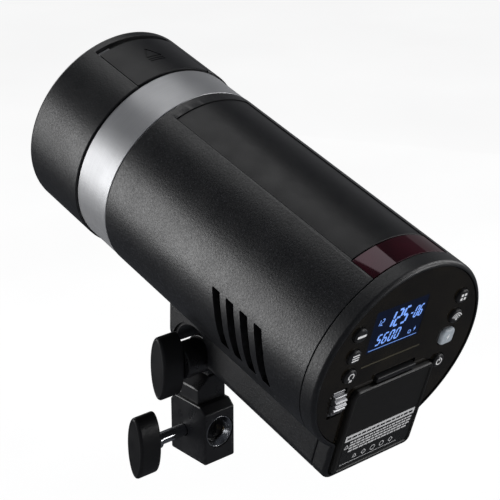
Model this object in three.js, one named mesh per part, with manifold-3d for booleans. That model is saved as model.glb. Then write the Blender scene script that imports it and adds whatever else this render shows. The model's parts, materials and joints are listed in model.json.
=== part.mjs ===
// Battery monolight strobe: a flash head that tilts on a small stand bracket.
// Millimetres.  +Z is up along the stand, +Y is forward out of the nose, X runs across.
// The origin is the middle of the stand socket's mouth, under the bracket block.
import * as THREE from 'three';
import { mergeVertices } from 'three/addons/utils/BufferGeometryUtils.js';
import Module from 'manifold-3d';

const wasm = await Module();
wasm.setup();

// ---- shared clearances and fineness
const GAP = 0.3;
const ROUND = 48;
const MEDIUM_ROUND = 32;
const SMALL_ROUND = 20;
const CORNER_STEPS = 4;
const OVERCUT = 2;
const ARC_GAP = 0.4; // degrees, the same gap along the tube's surface

// ---- stand bracket
const BLOCK = { halfX: 8.4, halfY: 12, height: 27.7, bevel: 1, chamfer: 3.2 };
const NECK = { x0: -7.2, halfY: 6.4, foot: 24, shoulder: 34.5, top: 39.5 };
const ARM = { x0: -1, x1: 8.4, halfY: 5.5, earRadius: 8.8 };
const PIVOT_HEIGHT = 47.8;
const PIVOT_BORE = 2.9;
const LUG_WIDTH = 9.5;
const SOCKET = { radius: 6.35, depth: 22 };
const UMBRELLA = { height: 14.3, bore: 5.2, flare: 6.9, bushRadius: 7.2, bushLength: 4.2 };
const SCREW_RADIUS = 2.5;

// ---- wing knobs
const KNOB = { halfWidth: 5.4, halfHeight: 14.8, thickness: 11, bevel: 1.4 };
const TILT_KNOB_X = -13.4;
const TILT_SCREW_END = 15.2;
const SPACER_RADIUS = 8.0;
const LOCK = { y: 3, z: 12.3, knobX: -24.6, shaft: 2.8, hub: 3.9, hubLength: 2.4 };
const LOCK_PAD = { radius: 2.3, length: 1.3 };

// ---- head: its own frame has Y forward from the rear rim and Z up from the tube axis
const HEAD_OFFSET_X = 19;
const HEAD_PITCH = THREE.MathUtils.degToRad(16.84);
const PIVOT = { y: 86.3, z: -54.6 };
const BODY_R = 44.5;
const WALL = 3.2;
const KEEL = { half: 25.2, drop: 55.2, corner: 5.5, frontY: 106.2, toeY: 101.5, noseZ: -36.5, toeRise: 1.8 };
const POCKET = { radius: 10.8, rimRadius: 11.9, rimDepth: 1.2, aheadOfPivot: 1.4, abovePivot: 3.6 };
const LUG_X0 = ARM.x1 + GAP - HEAD_OFFSET_X;
const SEAM_Y = 7.7;
const BODY_FRONT = 135.3;

// ---- battery and its bay
const BATTERY = { halfX: 21.9, top: -9.1, bottom: -50.9, y0: 1.2, y1: 68.5, corner: 4 };
const PLATEAU = { halfX: 22.6, top: -8.8, bottom: -52, proud: 1.7, corner: 3.2 };
const BAY_END = 70.5;
const LABEL = { halfX: 20, top: -32, bottom: -49, sunk: 0.5, sheet: 0.25 };
const BATTERY_LATCH = { halfX: 11, top: -5.7, bottom: -8, y0: -1.1, y1: 2.6, corner: 0.8 };
const CONTACTS = { halfX: 13, top: -12, bottom: -30, y0: 69.2, y1: 74, bladeEnd: 79, bladeXs: [-9, -3, 3, 9] };

// ---- arc features on the tube, as half-angles either side of straight up, in degrees
const STRIP = { half: 25.6, y0: 20.6, y1: 129.2, outer: 44.1, inner: 42.8 };
const WINDOW = { half: 26.6, y0: 8, y1: 20, outer: 44.2, inner: 42.6 };
const LATCH = { half: 25.2, y0: 157.1, y1: 185.6, slotEnd: 188.7, outer: 45.1, inner: 43.5 };

// ---- side vents
const VENT = { rearEdges: [59.7, 51.2, 42.6, 33.9], width: 4.9, top: 5.4, knee: -3.6, foot: -19, floorX: 34 };
const VENT_LEAN = { knee: 3.9, foot: 8.4 };
const VENT_SCREEN = { inner: 40, outer: 40.9, half: 20, y0: 22, y1: 68, belowSide: 4 };

// ---- nose
const RING = { y0: 135.6, y1: 156.3, outer: 44.3, inner: 41.9 };
const CAP = { y0: 156.7, y1: 193.4, outer: 45.2, inner: 42.1, face: 2.6, edge: 1.5 };

const MOUNT_RING = { inner: 31, outer: 41.5, groove: 39.6, throat: 33, y0: 138, y1: 166 };
const REFLECTOR = { y: 150, sheet: 1.8, floorRadius: 12, rimRadius: 30.6, rimY: 163.4, lip: 1.4 };
const TUBE_SOCKET = { radius: 12, y0: 152.2, y1: 159.4 };
const LAMP = { radius: 8, y0: 159.8, y1: 161.4 };
const FLASH_TUBE = { radius: 18, section: 2.4, y: 168 };
const DOME = { y: 160, outer: 26, inner: 24.4, lowestAngle: 0.32 };

// ---- inside
const CONTROL_BOARD = { radius: 38, belowSide: 8, y0: 6.2, y1: 7.6, dialMargin: 2 };
const FAN = { y0: 24, y1: 34, half: 20, z: 14.5, opening: 18.2, corner: 2.5, hub: 7, blades: 7, pitch: 0.9 };
const BLADE = { length: 11.5, thickness: 1, chord: 8.6, reach: 11.6, hubHalf: 4 };
const MAIN_BOARD = { halfX: 35, y0: 74.5, y1: 131, bottom: -8.4, top: -6.8 };
const CAPACITOR = { radius: 13.2, x: 14, z: 14, y0: 76, y1: 130 };
const SENSOR_BOARD = { halfX: 9, y0: 9, y1: 19, bottom: 35.4, top: 37 };

// ---- rear panel
const PANEL = { y0: 0.5, y1: 2.9, inset: 2.3, batteryHalf: 23.2, latchHalf: 11.4, latchTop: -4 };
const SCREEN = { x: -6.8, z: 18.9, width: 28.6, height: 20, moduleBack: 5.6 };
const ROUND_BUTTON = { radius: 3.2, flange: 4.1, face: -0.9, back: 4.2, stem: 3.4 };
const BUTTONS = [
  { name: 'mode_button', x: -28.3, z: 21.3 },
  { name: 'menu_button', x: -28.2, z: 10.9 },
  { name: 'lamp_button', x: -27.5, z: 1.2 },
  { name: 'group_button', x: 28.3, z: 21.3 },
  { name: 'wireless_button', x: 28.2, z: 11.4 },
  { name: 'power_button', x: 26.3, z: -10.8 },
];
const TEST_BUTTON = { x: 26.9, z: 1.6, half: 3.7, corner: 1.4 };
const DIAL = { x: -29.6, z: -12, y: 5.2, radius: 7.2, half: 3.2, ribs: 22, axle: 1 };

// ================================================================ shape helpers

function arc(cx, cy, radius, from, to, steps) {
  const points = [];
  for (let i = 0; i <= steps; i += 1) {
    const angle = from + ((to - from) * i) / steps;
    points.push(new THREE.Vector2(cx + radius * Math.cos(angle), cy + radius * Math.sin(angle)));
  }
  return points;
}

function circle(cx, cy, radius, steps = ROUND) {
  return new THREE.Shape(arc(cx, cy, radius, 0, 2 * Math.PI, steps).slice(0, -1));
}

function roundedBox(x0, x1, z0, z1, corner) {
  const quarter = Math.PI / 2;
  return new THREE.Shape([
    ...arc(x1 - corner, z1 - corner, corner, 0, quarter, CORNER_STEPS),
    ...arc(x0 + corner, z1 - corner, corner, quarter, 2 * quarter, CORNER_STEPS),
    ...arc(x0 + corner, z0 + corner, corner, 2 * quarter, 3 * quarter, CORNER_STEPS),
    ...arc(x1 - corner, z0 + corner, corner, 3 * quarter, 4 * quarter, CORNER_STEPS),
  ]);
}

// Curved plate lying on the tube, centred on straight up.
function archShape(inner, outer, halfDegrees, steps = 14, centreDegrees = 90) {
  const from = THREE.MathUtils.degToRad(centreDegrees - halfDegrees);
  const to = THREE.MathUtils.degToRad(centreDegrees + halfDegrees);
  return new THREE.Shape([
    ...arc(0, 0, outer, from, to, steps),
    ...arc(0, 0, inner, to, from, steps),
  ]);
}

// Cutter that leaves a seat in the tube for a curved plate, with a gap round the plate.
function arcRecess(floor, plate, y0, y1) {
  return alongY(archShape(floor, BODY_R + OVERCUT, plate.half + ARC_GAP), y0, y1);
}

// Extrudes a shape drawn in X and Z forward along Y.
function alongY(shape, y0, y1) {
  const geometry = new THREE.ExtrudeGeometry(shape, { depth: y1 - y0, bevelEnabled: false });
  return geometry.rotateX(Math.PI / 2).translate(0, y1, 0);
}

// Turns an extrusion's X, Y and depth to Y, Z and X.
function turnToX(geometry) {
  return geometry.rotateX(Math.PI / 2).rotateZ(Math.PI / 2);
}

// Extrudes a shape drawn in Y and Z across along X.
function alongX(shape, x0, x1) {
  const geometry = new THREE.ExtrudeGeometry(shape, { depth: x1 - x0, bevelEnabled: false });
  return turnToX(geometry).translate(x0, 0, 0);
}

function bevelled(shape, depth, bevel, steps = 2) {
  return new THREE.ExtrudeGeometry(shape, {
    depth: depth - 2 * bevel,
    bevelEnabled: true,
    bevelThickness: bevel,
    bevelSize: bevel,
    bevelOffset: -bevel,
    bevelSegments: steps,
  }).translate(0, 0, bevel);
}

function bevelledAlongY(shape, y0, y1, bevel, steps) {
  return bevelled(shape, y1 - y0, bevel, steps).rotateX(Math.PI / 2).translate(0, y1, 0);
}

function bevelledAlongX(shape, x0, x1, bevel, steps) {
  return turnToX(bevelled(shape, x1 - x0, bevel, steps)).translate(x0, 0, 0);
}

function box(x0, x1, y0, y1, z0, z1) {
  const geometry = new THREE.BoxGeometry(x1 - x0, y1 - y0, z1 - z0);
  return geometry.translate((x0 + x1) / 2, (y0 + y1) / 2, (z0 + z1) / 2);
}

function lathe(profile, steps = ROUND) {
  const points = profile.map(([radius, y]) => new THREE.Vector2(radius, y));
  return new THREE.LatheGeometry(points, steps);
}

function rodX(radius, x0, x1, y, z, steps = SMALL_ROUND) {
  const geometry = new THREE.CylinderGeometry(radius, radius, x1 - x0, steps);
  return geometry.rotateZ(Math.PI / 2).translate((x0 + x1) / 2, y, z);
}

function rodY(radius, y0, y1, x = 0, z = 0, steps = SMALL_ROUND) {
  return new THREE.CylinderGeometry(radius, radius, y1 - y0, steps).translate(x, (y0 + y1) / 2, z);
}

// ================================================================ joining and cutting

function toSolid(geometry) {
  const bare = geometry.clone();
  bare.deleteAttribute('normal');
  bare.deleteAttribute('uv');
  const merged = mergeVertices(bare, 1e-4);
  const mesh = new wasm.Mesh({
    numProp: 3,
    vertProperties: new Float32Array(merged.attributes.position.array),
    triVerts: new Uint32Array(merged.index.array),
  });
  const solid = new wasm.Manifold(mesh);
  if (solid.volume() > 0) return solid;
  for (let i = 0; i < mesh.triVerts.length; i += 3) {
    const second = mesh.triVerts[i + 1];
    mesh.triVerts[i + 1] = mesh.triVerts[i + 2];
    mesh.triVerts[i + 2] = second;
  }
  return new wasm.Manifold(mesh);
}

function toGeometry(solid) {
  const mesh = solid.getMesh();
  const geometry = new THREE.BufferGeometry();
  geometry.setAttribute('position', new THREE.BufferAttribute(mesh.vertProperties, 3));
  geometry.setIndex(new THREE.BufferAttribute(mesh.triVerts, 1));
  geometry.computeVertexNormals();
  return geometry;
}

function join(...geometries) {
  return toGeometry(geometries.map(toSolid).reduce((sum, next) => sum.add(next)));
}

function cut(geometry, ...tools) {
  return toGeometry(tools.map(toSolid).reduce((rest, tool) => rest.subtract(tool), toSolid(geometry)));
}

function common(first, second) {
  return toGeometry(toSolid(first).intersect(toSolid(second)));
}

function piece(name, geometry, colour, roughness, metalness) {
  const material = new THREE.MeshStandardMaterial({ color: colour, roughness, metalness });
  const mesh = new THREE.Mesh(toGeometry(toSolid(geometry)), material);
  mesh.name = name;
  return mesh;
}

// ================================================================ stand bracket

function buildBlock() {
  const { halfX, halfY, height, bevel, chamfer } = BLOCK;
  const profile = new THREE.Shape([
    new THREE.Vector2(-halfY, 0),
    new THREE.Vector2(halfY, 0),
    new THREE.Vector2(halfY, height - chamfer),
    new THREE.Vector2(halfY - chamfer, height),
    new THREE.Vector2(chamfer - halfY, height),
    new THREE.Vector2(-halfY, height - chamfer),
  ]);
  return bevelledAlongX(profile, -halfX, halfX, bevel, 1);
}

// Broad shoulder under the ear, narrowing on the knob's side.
function buildNeck() {
  const right = ARM.x1 - GAP;
  const outline = new THREE.Shape([
    new THREE.Vector2(NECK.x0, NECK.foot),
    new THREE.Vector2(right, NECK.foot),
    new THREE.Vector2(right, NECK.top),
    new THREE.Vector2(ARM.x0, NECK.top),
    new THREE.Vector2(NECK.x0, NECK.shoulder),
  ]);
  return alongY(outline, -NECK.halfY, NECK.halfY);
}

function buildBracket() {
  const { halfX, halfY } = BLOCK;
  const stalk = box(ARM.x0, ARM.x1 - GAP, -ARM.halfY, ARM.halfY, NECK.foot, PIVOT_HEIGHT);
  const ear = alongX(circle(0, PIVOT_HEIGHT, ARM.earRadius, MEDIUM_ROUND), ARM.x0, ARM.x1 - GAP);
  const bushSeat = UMBRELLA.bushRadius + GAP;
  const bushDepth = UMBRELLA.bushLength + GAP;
  const body = cut(
    join(buildBlock(), buildNeck(), stalk, ear),
    rodX(PIVOT_BORE, ARM.x0 - OVERCUT, ARM.x1 + OVERCUT, 0, PIVOT_HEIGHT),
    rodY(UMBRELLA.bore, -halfY - OVERCUT, halfY + OVERCUT, 0, UMBRELLA.height, MEDIUM_ROUND),
    rodY(bushSeat, -halfY - OVERCUT, -halfY + bushDepth, 0, UMBRELLA.height, MEDIUM_ROUND),
    rodY(bushSeat, halfY - bushDepth, halfY + OVERCUT, 0, UMBRELLA.height, MEDIUM_ROUND),
    new THREE.CylinderGeometry(SOCKET.radius, SOCKET.radius, SOCKET.depth + OVERCUT, MEDIUM_ROUND)
      .rotateX(Math.PI / 2).translate(0, 0, (SOCKET.depth - OVERCUT) / 2),
    rodX(LOCK.shaft + GAP, -halfX - OVERCUT, 0, LOCK.y, LOCK.z),
  );
  return piece('bracket_block', body, 0x1c1c1e, 0.6, 0.35);
}

// Polished liner in each mouth of the umbrella hole, opening outwards.
function buildUmbrellaBush(name, direction) {
  const face = BLOCK.halfY - GAP;
  const inner = face - UMBRELLA.bushLength + GAP;
  const ring = lathe([
    [UMBRELLA.bore + GAP, inner],
    [UMBRELLA.bushRadius, inner],
    [UMBRELLA.bushRadius, face],
    [UMBRELLA.flare, face],
    [UMBRELLA.bore + GAP, inner + 1],
    [UMBRELLA.bore + GAP, inner],
  ], MEDIUM_ROUND);
  if (direction < 0) ring.rotateZ(Math.PI);
  return piece(name, ring.translate(0, 0, UMBRELLA.height), 0xb9bbbe, 0.28, 0.95);
}

function ovalShape() {
  const points = [];
  for (let i = 0; i < MEDIUM_ROUND; i += 1) {
    const angle = (2 * Math.PI * i) / MEDIUM_ROUND;
    points.push(new THREE.Vector2(KNOB.halfWidth * Math.cos(angle), KNOB.halfHeight * Math.sin(angle)));
  }
  return new THREE.Shape(points);
}

function buildWingKnob(name, screwRadius) {
  const wing = bevelledAlongX(ovalShape(), -KNOB.thickness, 0, KNOB.bevel, 2);
  const seat = rodX(screwRadius + GAP, -KNOB.thickness * 0.6, OVERCUT, 0, 0);
  return piece(name, cut(wing, seat), 0x17171a, 0.55, 0.0);
}

function buildTiltHardware() {
  const group = new THREE.Group();
  group.name = 'tilt_hardware';
  group.position.set(0, 0, PIVOT_HEIGHT);
  const knob = buildWingKnob('tilt_knob', SCREW_RADIUS);
  knob.position.x = TILT_KNOB_X;
  const screw = rodX(SCREW_RADIUS, TILT_KNOB_X - KNOB.thickness / 2, TILT_SCREW_END, 0, 0);
  const spacerShape = circle(0, 0, SPACER_RADIUS, MEDIUM_ROUND);
  spacerShape.holes.push(circle(0, 0, SCREW_RADIUS + GAP, SMALL_ROUND));
  const spacer = alongX(spacerShape, TILT_KNOB_X + GAP, ARM.x0 - GAP);
  group.add(knob);
  group.add(piece('tilt_screw', screw, 0x8f9296, 0.3, 0.95));
  group.add(piece('tilt_spacer', spacer, 0x202024, 0.5, 0.4));
  return group;
}

function buildStandLock() {
  const group = new THREE.Group();
  group.name = 'stand_lock';
  group.position.set(0, LOCK.y, LOCK.z);
  const knob = buildWingKnob('lock_knob', LOCK.shaft);
  knob.position.x = LOCK.knobX;
  const tip = -SOCKET.radius - GAP;
  const screw = join(
    rodX(LOCK.shaft, LOCK.knobX - KNOB.thickness / 2, tip, 0, 0),
    rodX(LOCK.hub, LOCK.knobX + GAP, LOCK.knobX + LOCK.hubLength, 0, 0),
  );
  const pad = rodX(LOCK_PAD.radius, tip + GAP, tip + GAP + LOCK_PAD.length, 0, 0);
  group.add(knob);
  group.add(piece('lock_screw', screw, 0xc4c6c9, 0.2, 1.0));
  group.add(piece('lock_pad', pad, 0xb08d4a, 0.35, 0.9));
  return group;
}

// ================================================================ head: shell

function headOutline(inset = 0) {
  const radius = BODY_R - inset;
  const half = KEEL.half - inset;
  const bottom = inset - KEEL.drop;
  const corner = Math.max(KEEL.corner - inset, 1);
  const meet = Math.acos(half / radius);
  return new THREE.Shape([
    ...arc(0, 0, radius, -meet, Math.PI + meet, ROUND),
    ...arc(corner - half, bottom + corner, corner, Math.PI, 1.5 * Math.PI, CORNER_STEPS),
    ...arc(half - corner, bottom + corner, corner, 1.5 * Math.PI, 2 * Math.PI, CORNER_STEPS),
  ]);
}

function buildKeel() {
  const cross = roundedBox(-KEEL.half, KEEL.half, -KEEL.drop, 0, KEEL.corner);
  const side = new THREE.Shape([
    new THREE.Vector2(SEAM_Y, -KEEL.drop - OVERCUT),
    new THREE.Vector2(KEEL.toeY - 1, -KEEL.drop - OVERCUT),
    new THREE.Vector2(KEEL.toeY, -KEEL.drop),
    new THREE.Vector2(KEEL.toeY + KEEL.toeRise, -KEEL.drop + KEEL.toeRise),
    new THREE.Vector2(KEEL.frontY, KEEL.noseZ),
    new THREE.Vector2(KEEL.frontY, -BODY_R / 2),
    new THREE.Vector2(SEAM_Y, -BODY_R / 2),
  ]);
  return common(alongY(cross, SEAM_Y, KEEL.frontY), alongX(side, -BODY_R, BODY_R));
}

// Recess in the keel's left side where the bracket's ear turns, open downwards.
function pivotPocket(radius, x0, x1) {
  const centreY = PIVOT.y + POCKET.aheadOfPivot;
  const centreZ = PIVOT.z + POCKET.abovePivot;
  const floor = -KEEL.drop - OVERCUT;
  const arch = new THREE.Shape([
    ...arc(centreY, centreZ, radius, 0, Math.PI, MEDIUM_ROUND / 2),
    new THREE.Vector2(centreY - radius, floor),
    new THREE.Vector2(centreY + radius, floor),
  ]);
  return alongX(arch, x0, x1);
}

function ventSlot(rearEdge, side) {
  const frontEdge = rearEdge + VENT.width;
  const slot = new THREE.Shape([
    new THREE.Vector2(rearEdge, VENT.top),
    new THREE.Vector2(rearEdge - VENT_LEAN.knee, VENT.knee),
    new THREE.Vector2(rearEdge - VENT_LEAN.foot, VENT.foot),
    new THREE.Vector2(frontEdge - VENT_LEAN.foot, VENT.foot),
    new THREE.Vector2(frontEdge - VENT_LEAN.knee, VENT.knee),
    new THREE.Vector2(frontEdge, VENT.top),
  ]);
  const outside = BODY_R + OVERCUT;
  return side < 0 ? alongX(slot, -outside, -VENT.floorX) : alongX(slot, VENT.floorX, outside);
}

function buildHousing() {
  const shellBottom = BATTERY.bottom - 2 * GAP;
  const bayHalf = BATTERY.halfX + 2 * GAP;
  const lug = join(
    alongX(circle(PIVOT.y, PIVOT.z, ARM.earRadius, MEDIUM_ROUND), LUG_X0, LUG_X0 + LUG_WIDTH),
    box(LUG_X0, LUG_X0 + LUG_WIDTH, PIVOT.y - ARM.earRadius, PIVOT.y + ARM.earRadius, PIVOT.z, -BODY_R),
  );
  const pocketX0 = -KEEL.half - OVERCUT;
  const vents = VENT.rearEdges.flatMap((edge) => [ventSlot(edge, -1), ventSlot(edge, 1)]);
  const tubeOuter = alongY(circle(0, 0, BODY_R), SEAM_Y, BODY_FRONT);
  const shell = cut(
    join(tubeOuter, buildKeel()),
    pivotPocket(POCKET.radius, pocketX0, LUG_X0),
    pivotPocket(POCKET.rimRadius, pocketX0, -KEEL.half + POCKET.rimDepth),
  );
  const body = cut(
    join(shell, lug),
    alongY(circle(0, 0, BODY_R - WALL), 0, BODY_FRONT + OVERCUT),
    alongY(roundedBox(-bayHalf, bayHalf, shellBottom, 0, BATTERY.corner), 0, BAY_END),
    arcRecess(STRIP.inner - GAP, STRIP, STRIP.y0 - GAP, STRIP.y1 + GAP),
    arcRecess(BODY_R - 2 * WALL, WINDOW, 0, WINDOW.y1 + GAP),
    rodX(PIVOT_BORE, LUG_X0 - OVERCUT, TILT_SCREW_END - HEAD_OFFSET_X + 1, PIVOT.y, PIVOT.z),
    ...vents,
  );
  return piece('housing', body, 0x1d1d20, 0.62, 0.2);
}

function buildBezel() {
  const outer = bevelledAlongY(headOutline(), 0, SEAM_Y + 4, 1.5, 2);
  const trimmed = cut(outer, alongY(circle(0, 0, 2 * BODY_R), SEAM_Y - GAP, SEAM_Y + 3 * OVERCUT));
  return piece('bezel', cut(trimmed, alongY(headOutline(2), -OVERCUT, SEAM_Y + OVERCUT)), 0x232326, 0.5, 0.3);
}

function buildTopStrip() {
  const strip = alongY(archShape(STRIP.inner, STRIP.outer, STRIP.half), STRIP.y0, STRIP.y1);
  return piece('top_strip', strip, 0x202023, 0.55, 0.2);
}

function buildSensorWindow() {
  const pane = alongY(archShape(WINDOW.inner, WINDOW.outer, WINDOW.half), WINDOW.y0, WINDOW.y1);
  return piece('sensor_window', pane, 0x4a0f14, 0.12, 0.0);
}

function buildVentScreens() {
  const { inner, outer, half, y0, y1, belowSide } = VENT_SCREEN;
  const sides = [['vent_screen_left', 180 + belowSide], ['vent_screen_right', -belowSide]];
  return sides.map(([name, centre]) => {
    const screen = alongY(archShape(inner, outer, half, 10, centre), y0, y1);
    return piece(name, screen, 0x0d0d0e, 0.8, 0.3);
  });
}

// ================================================================ head: rear panel

// Left, right, lower and upper edge of the screen, grown by a margin.
function screenSpan(margin) {
  const halfWidth = SCREEN.width / 2 + margin;
  const halfHeight = SCREEN.height / 2 + margin;
  return [SCREEN.x - halfWidth, SCREEN.x + halfWidth, SCREEN.z - halfHeight, SCREEN.z + halfHeight];
}

function buildRearPanel() {
  const { y0, y1, inset, batteryHalf, latchHalf, latchTop } = PANEL;
  const through = (x0, x1, z0, z1) => box(x0, x1, -OVERCUT, 2 * OVERCUT, z0, z1);
  const dialHalf = DIAL.half + 2 * GAP;
  const keyHalf = TEST_BUTTON.half + GAP;
  const keyHole = roundedBox(
    TEST_BUTTON.x - keyHalf, TEST_BUTTON.x + keyHalf,
    TEST_BUTTON.z - keyHalf, TEST_BUTTON.z + keyHalf, TEST_BUTTON.corner,
  );
  const panel = cut(
    alongY(headOutline(inset), y0, y1),
    through(-batteryHalf, batteryHalf, -KEEL.drop, PLATEAU.top + 2 * GAP),
    through(-latchHalf, latchHalf, PLATEAU.top, latchTop),
    through(...screenSpan(GAP)),
    through(DIAL.x - dialHalf, DIAL.x + dialHalf, DIAL.z - DIAL.radius, DIAL.z + DIAL.radius),
    alongY(keyHole, -OVERCUT, 2 * OVERCUT),
    ...BUTTONS.map(({ x, z }) => rodY(ROUND_BUTTON.radius + GAP, -OVERCUT, 2 * OVERCUT, x, z)),
  );
  return piece('rear_panel', panel, 0x0c0c0e, 0.12, 0.0);
}

function buildScreen() {
  const slab = (margin, y0, y1) => {
    const [x0, x1, z0, z1] = screenSpan(margin);
    return box(x0, x1, y0, y1, z0, z1);
  };
  const pane = slab(0, PANEL.y0 + 0.1, PANEL.y0 + 1.3);
  const module = slab(1, PANEL.y1 + GAP, SCREEN.moduleBack);
  return [
    piece('screen_glass', pane, 0x0a1420, 0.06, 0.0),
    piece('screen_module', module, 0x1b3c78, 0.4, 0.0),
  ];
}

function buildButtons() {
  const { radius, flange, face, back, stem } = ROUND_BUTTON;
  const round = BUTTONS.map(({ name, x, z }) => {
    const cap = join(rodY(radius, face, stem, x, z), rodY(flange, PANEL.y1 + GAP, back, x, z));
    return piece(name, cap, 0x161618, 0.45, 0.0);
  });
  const { x, z, half, corner } = TEST_BUTTON;
  const key = bevelledAlongY(roundedBox(x - half, x + half, z - half, z + half, corner), face, back, 0.5, 1);
  return [...round, piece('test_button', key, 0xb9bec4, 0.3, 0.0)];
}

function buildDial() {
  const points = [];
  for (let i = 0; i < DIAL.ribs; i += 1) {
    const step = (2 * Math.PI) / DIAL.ribs;
    const inner = DIAL.radius - 0.7;
    points.push(...arc(0, 0, DIAL.radius, i * step, (i + 0.5) * step, 1));
    points.push(...arc(0, 0, inner, (i + 0.6) * step, (i + 0.9) * step, 1));
  }
  const shape = new THREE.Shape(points);
  shape.holes.push(circle(0, 0, DIAL.axle + GAP, 12));
  const wheel = piece('dial_wheel', alongX(shape, -DIAL.half, DIAL.half), 0x19191b, 0.6, 0.0);
  const pinEnd = DIAL.half + 1.4;
  const axle = piece('dial_axle', rodX(DIAL.axle, -pinEnd, pinEnd, 0, 0, 12), 0x9a9da1, 0.3, 0.9);
  for (const part of [wheel, axle]) part.position.set(DIAL.x, DIAL.y, DIAL.z);
  return [wheel, axle];
}

// ================================================================ head: battery

function buildBattery() {
  const body = alongY(
    roundedBox(-BATTERY.halfX, BATTERY.halfX, BATTERY.bottom, BATTERY.top, BATTERY.corner),
    BATTERY.y0 - 0.2, BATTERY.y1,
  );
  const plateau = bevelledAlongY(
    roundedBox(-PLATEAU.halfX, PLATEAU.halfX, PLATEAU.bottom, PLATEAU.top, PLATEAU.corner),
    -PLATEAU.proud, BATTERY.y0, 0.7, 1,
  );
  const seat = labelSlab(GAP, -PLATEAU.proud - OVERCUT, -PLATEAU.proud + LABEL.sunk);
  return piece('battery', cut(join(body, plateau), seat), 0x121214, 0.5, 0.0);
}

// A slab with the label's outline, grown by a margin.
function labelSlab(margin, y0, y1) {
  const { halfX, top, bottom } = LABEL;
  return box(-halfX - margin, halfX + margin, y0, y1, bottom - margin, top + margin);
}

function buildBatteryLabel() {
  const y1 = -PLATEAU.proud + LABEL.sunk - GAP;
  return piece('battery_label', labelSlab(0, y1 - LABEL.sheet, y1), 0x3a3b3e, 0.5, 0.0);
}

function buildBatteryLatch() {
  const { halfX, top, bottom, y0, y1, corner } = BATTERY_LATCH;
  const bar = bevelledAlongY(roundedBox(-halfX, halfX, bottom, top, corner), y0, y1, corner / 2, 1);
  return piece('battery_latch', bar, 0x1a1a1c, 0.5, 0.0);
}

// Moulded block at the end of the battery bay with four blades.
function buildContacts() {
  const { halfX, top, bottom, y0, y1, bladeEnd, bladeXs } = CONTACTS;
  const block = box(-halfX, halfX, y0, y1, bottom, top);
  const blades = bladeXs.map((x) => box(x - 1, x + 1, y1 - 1, bladeEnd, bottom + 4, top - 5));
  return piece('battery_contacts', join(block, ...blades), 0xb28b3c, 0.4, 0.8);
}

// ================================================================ head: inside

function board(name, { halfX, y0, y1, bottom, top }) {
  return piece(name, box(-halfX, halfX, y0, y1, bottom, top), 0x12402a, 0.6, 0.1);
}

// Half-round board behind the panel, cut away round the dial.
function buildControlBoard() {
  const { radius, belowSide, y0, y1, dialMargin } = CONTROL_BOARD;
  const below = THREE.MathUtils.degToRad(belowSide);
  const outline = new THREE.Shape(arc(0, 0, radius, -below, Math.PI + below, 30));
  const dialRoom = box(
    -BODY_R, DIAL.x + DIAL.half + dialMargin, 0, y1 + OVERCUT,
    -BODY_R, DIAL.z + DIAL.radius + dialMargin,
  );
  return piece('control_board', cut(alongY(outline, y0, y1), dialRoom), 0x12402a, 0.6, 0.1);
}

function buildFanFrame() {
  const shape = roundedBox(-FAN.half, FAN.half, FAN.z - FAN.half, FAN.z + FAN.half, FAN.corner);
  shape.holes.push(circle(0, FAN.z, FAN.opening, MEDIUM_ROUND));
  return piece('fan_frame', alongY(shape, FAN.y0, FAN.y1), 0x151516, 0.6, 0.0);
}

function buildFanRotor() {
  const { length, thickness, chord, reach, hubHalf } = BLADE;
  const blades = [];
  for (let i = 0; i < FAN.blades; i += 1) {
    const blade = new THREE.BoxGeometry(length, thickness, chord).rotateX(FAN.pitch);
    blades.push(blade.translate(reach, 0, 0).rotateY((2 * Math.PI * i) / FAN.blades));
  }
  const rotor = piece('fan_rotor', join(rodY(FAN.hub, -hubHalf, hubHalf), ...blades), 0x222224, 0.5, 0);
  rotor.position.set(0, (FAN.y0 + FAN.y1) / 2, FAN.z);
  return rotor;
}

function buildCapacitor(name, side) {
  const { radius, x, z, y0, y1 } = CAPACITOR;
  return piece(name, rodY(radius, y0, y1, side * x, z, MEDIUM_ROUND), 0x20335c, 0.4, 0.2);
}

// ================================================================ head: nose

function buildSilverRing() {
  const { y0, y1, outer, inner } = RING;
  const soft = 0.5;
  const band = lathe([
    [inner, y0], [outer - soft, y0], [outer, y0 + soft], [outer, y1 - soft],
    [outer - soft, y1], [inner, y1], [inner, y0],
  ]);
  return piece('silver_ring', band, 0xb4b6b9, 0.35, 0.95);
}

// Accessory mount with a groove round it for a reflector's claws.
function buildMountRing() {
  const { inner, outer, groove, throat, y0, y1 } = MOUNT_RING;
  const ring = lathe([
    [inner, y0], [outer, y0], [outer, y1 - 8], [groove, y1 - 7], [groove, y1 - 3.6],
    [outer, y1 - 3], [outer, y1], [throat, y1], [inner, y1 - 2], [inner, y0],
  ]);
  return piece('mount_ring', ring, 0x232325, 0.5, 0.6);
}

function buildReflector() {
  const { y, sheet, floorRadius, rimRadius, rimY, lip } = REFLECTOR;
  const dish = lathe([
    [0, y], [floorRadius, y], [rimRadius, rimY], [rimRadius, rimY + lip],
    [rimRadius - lip, rimY + lip], [floorRadius, y + sheet], [0, y + sheet],
  ], MEDIUM_ROUND);
  return piece('reflector', dish, 0xd8d9da, 0.2, 0.9);
}

function buildLightSources() {
  const { radius, section, y } = FLASH_TUBE;
  const ring = arc(radius, y, section, 0, 2 * Math.PI, 10).map((point) => point.toArray());
  ring[ring.length - 1] = ring[0];
  const socket = rodY(TUBE_SOCKET.radius, TUBE_SOCKET.y0, TUBE_SOCKET.y1, 0, 0, MEDIUM_ROUND);
  return [
    piece('tube_socket', socket, 0xe4e0d6, 0.6, 0.0),
    piece('modelling_lamp', rodY(LAMP.radius, LAMP.y0, LAMP.y1), 0xf0dc8a, 0.4, 0.0),
    piece('flash_tube', lathe(ring, MEDIUM_ROUND), 0xe8eef2, 0.08, 0.0),
  ];
}

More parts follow.
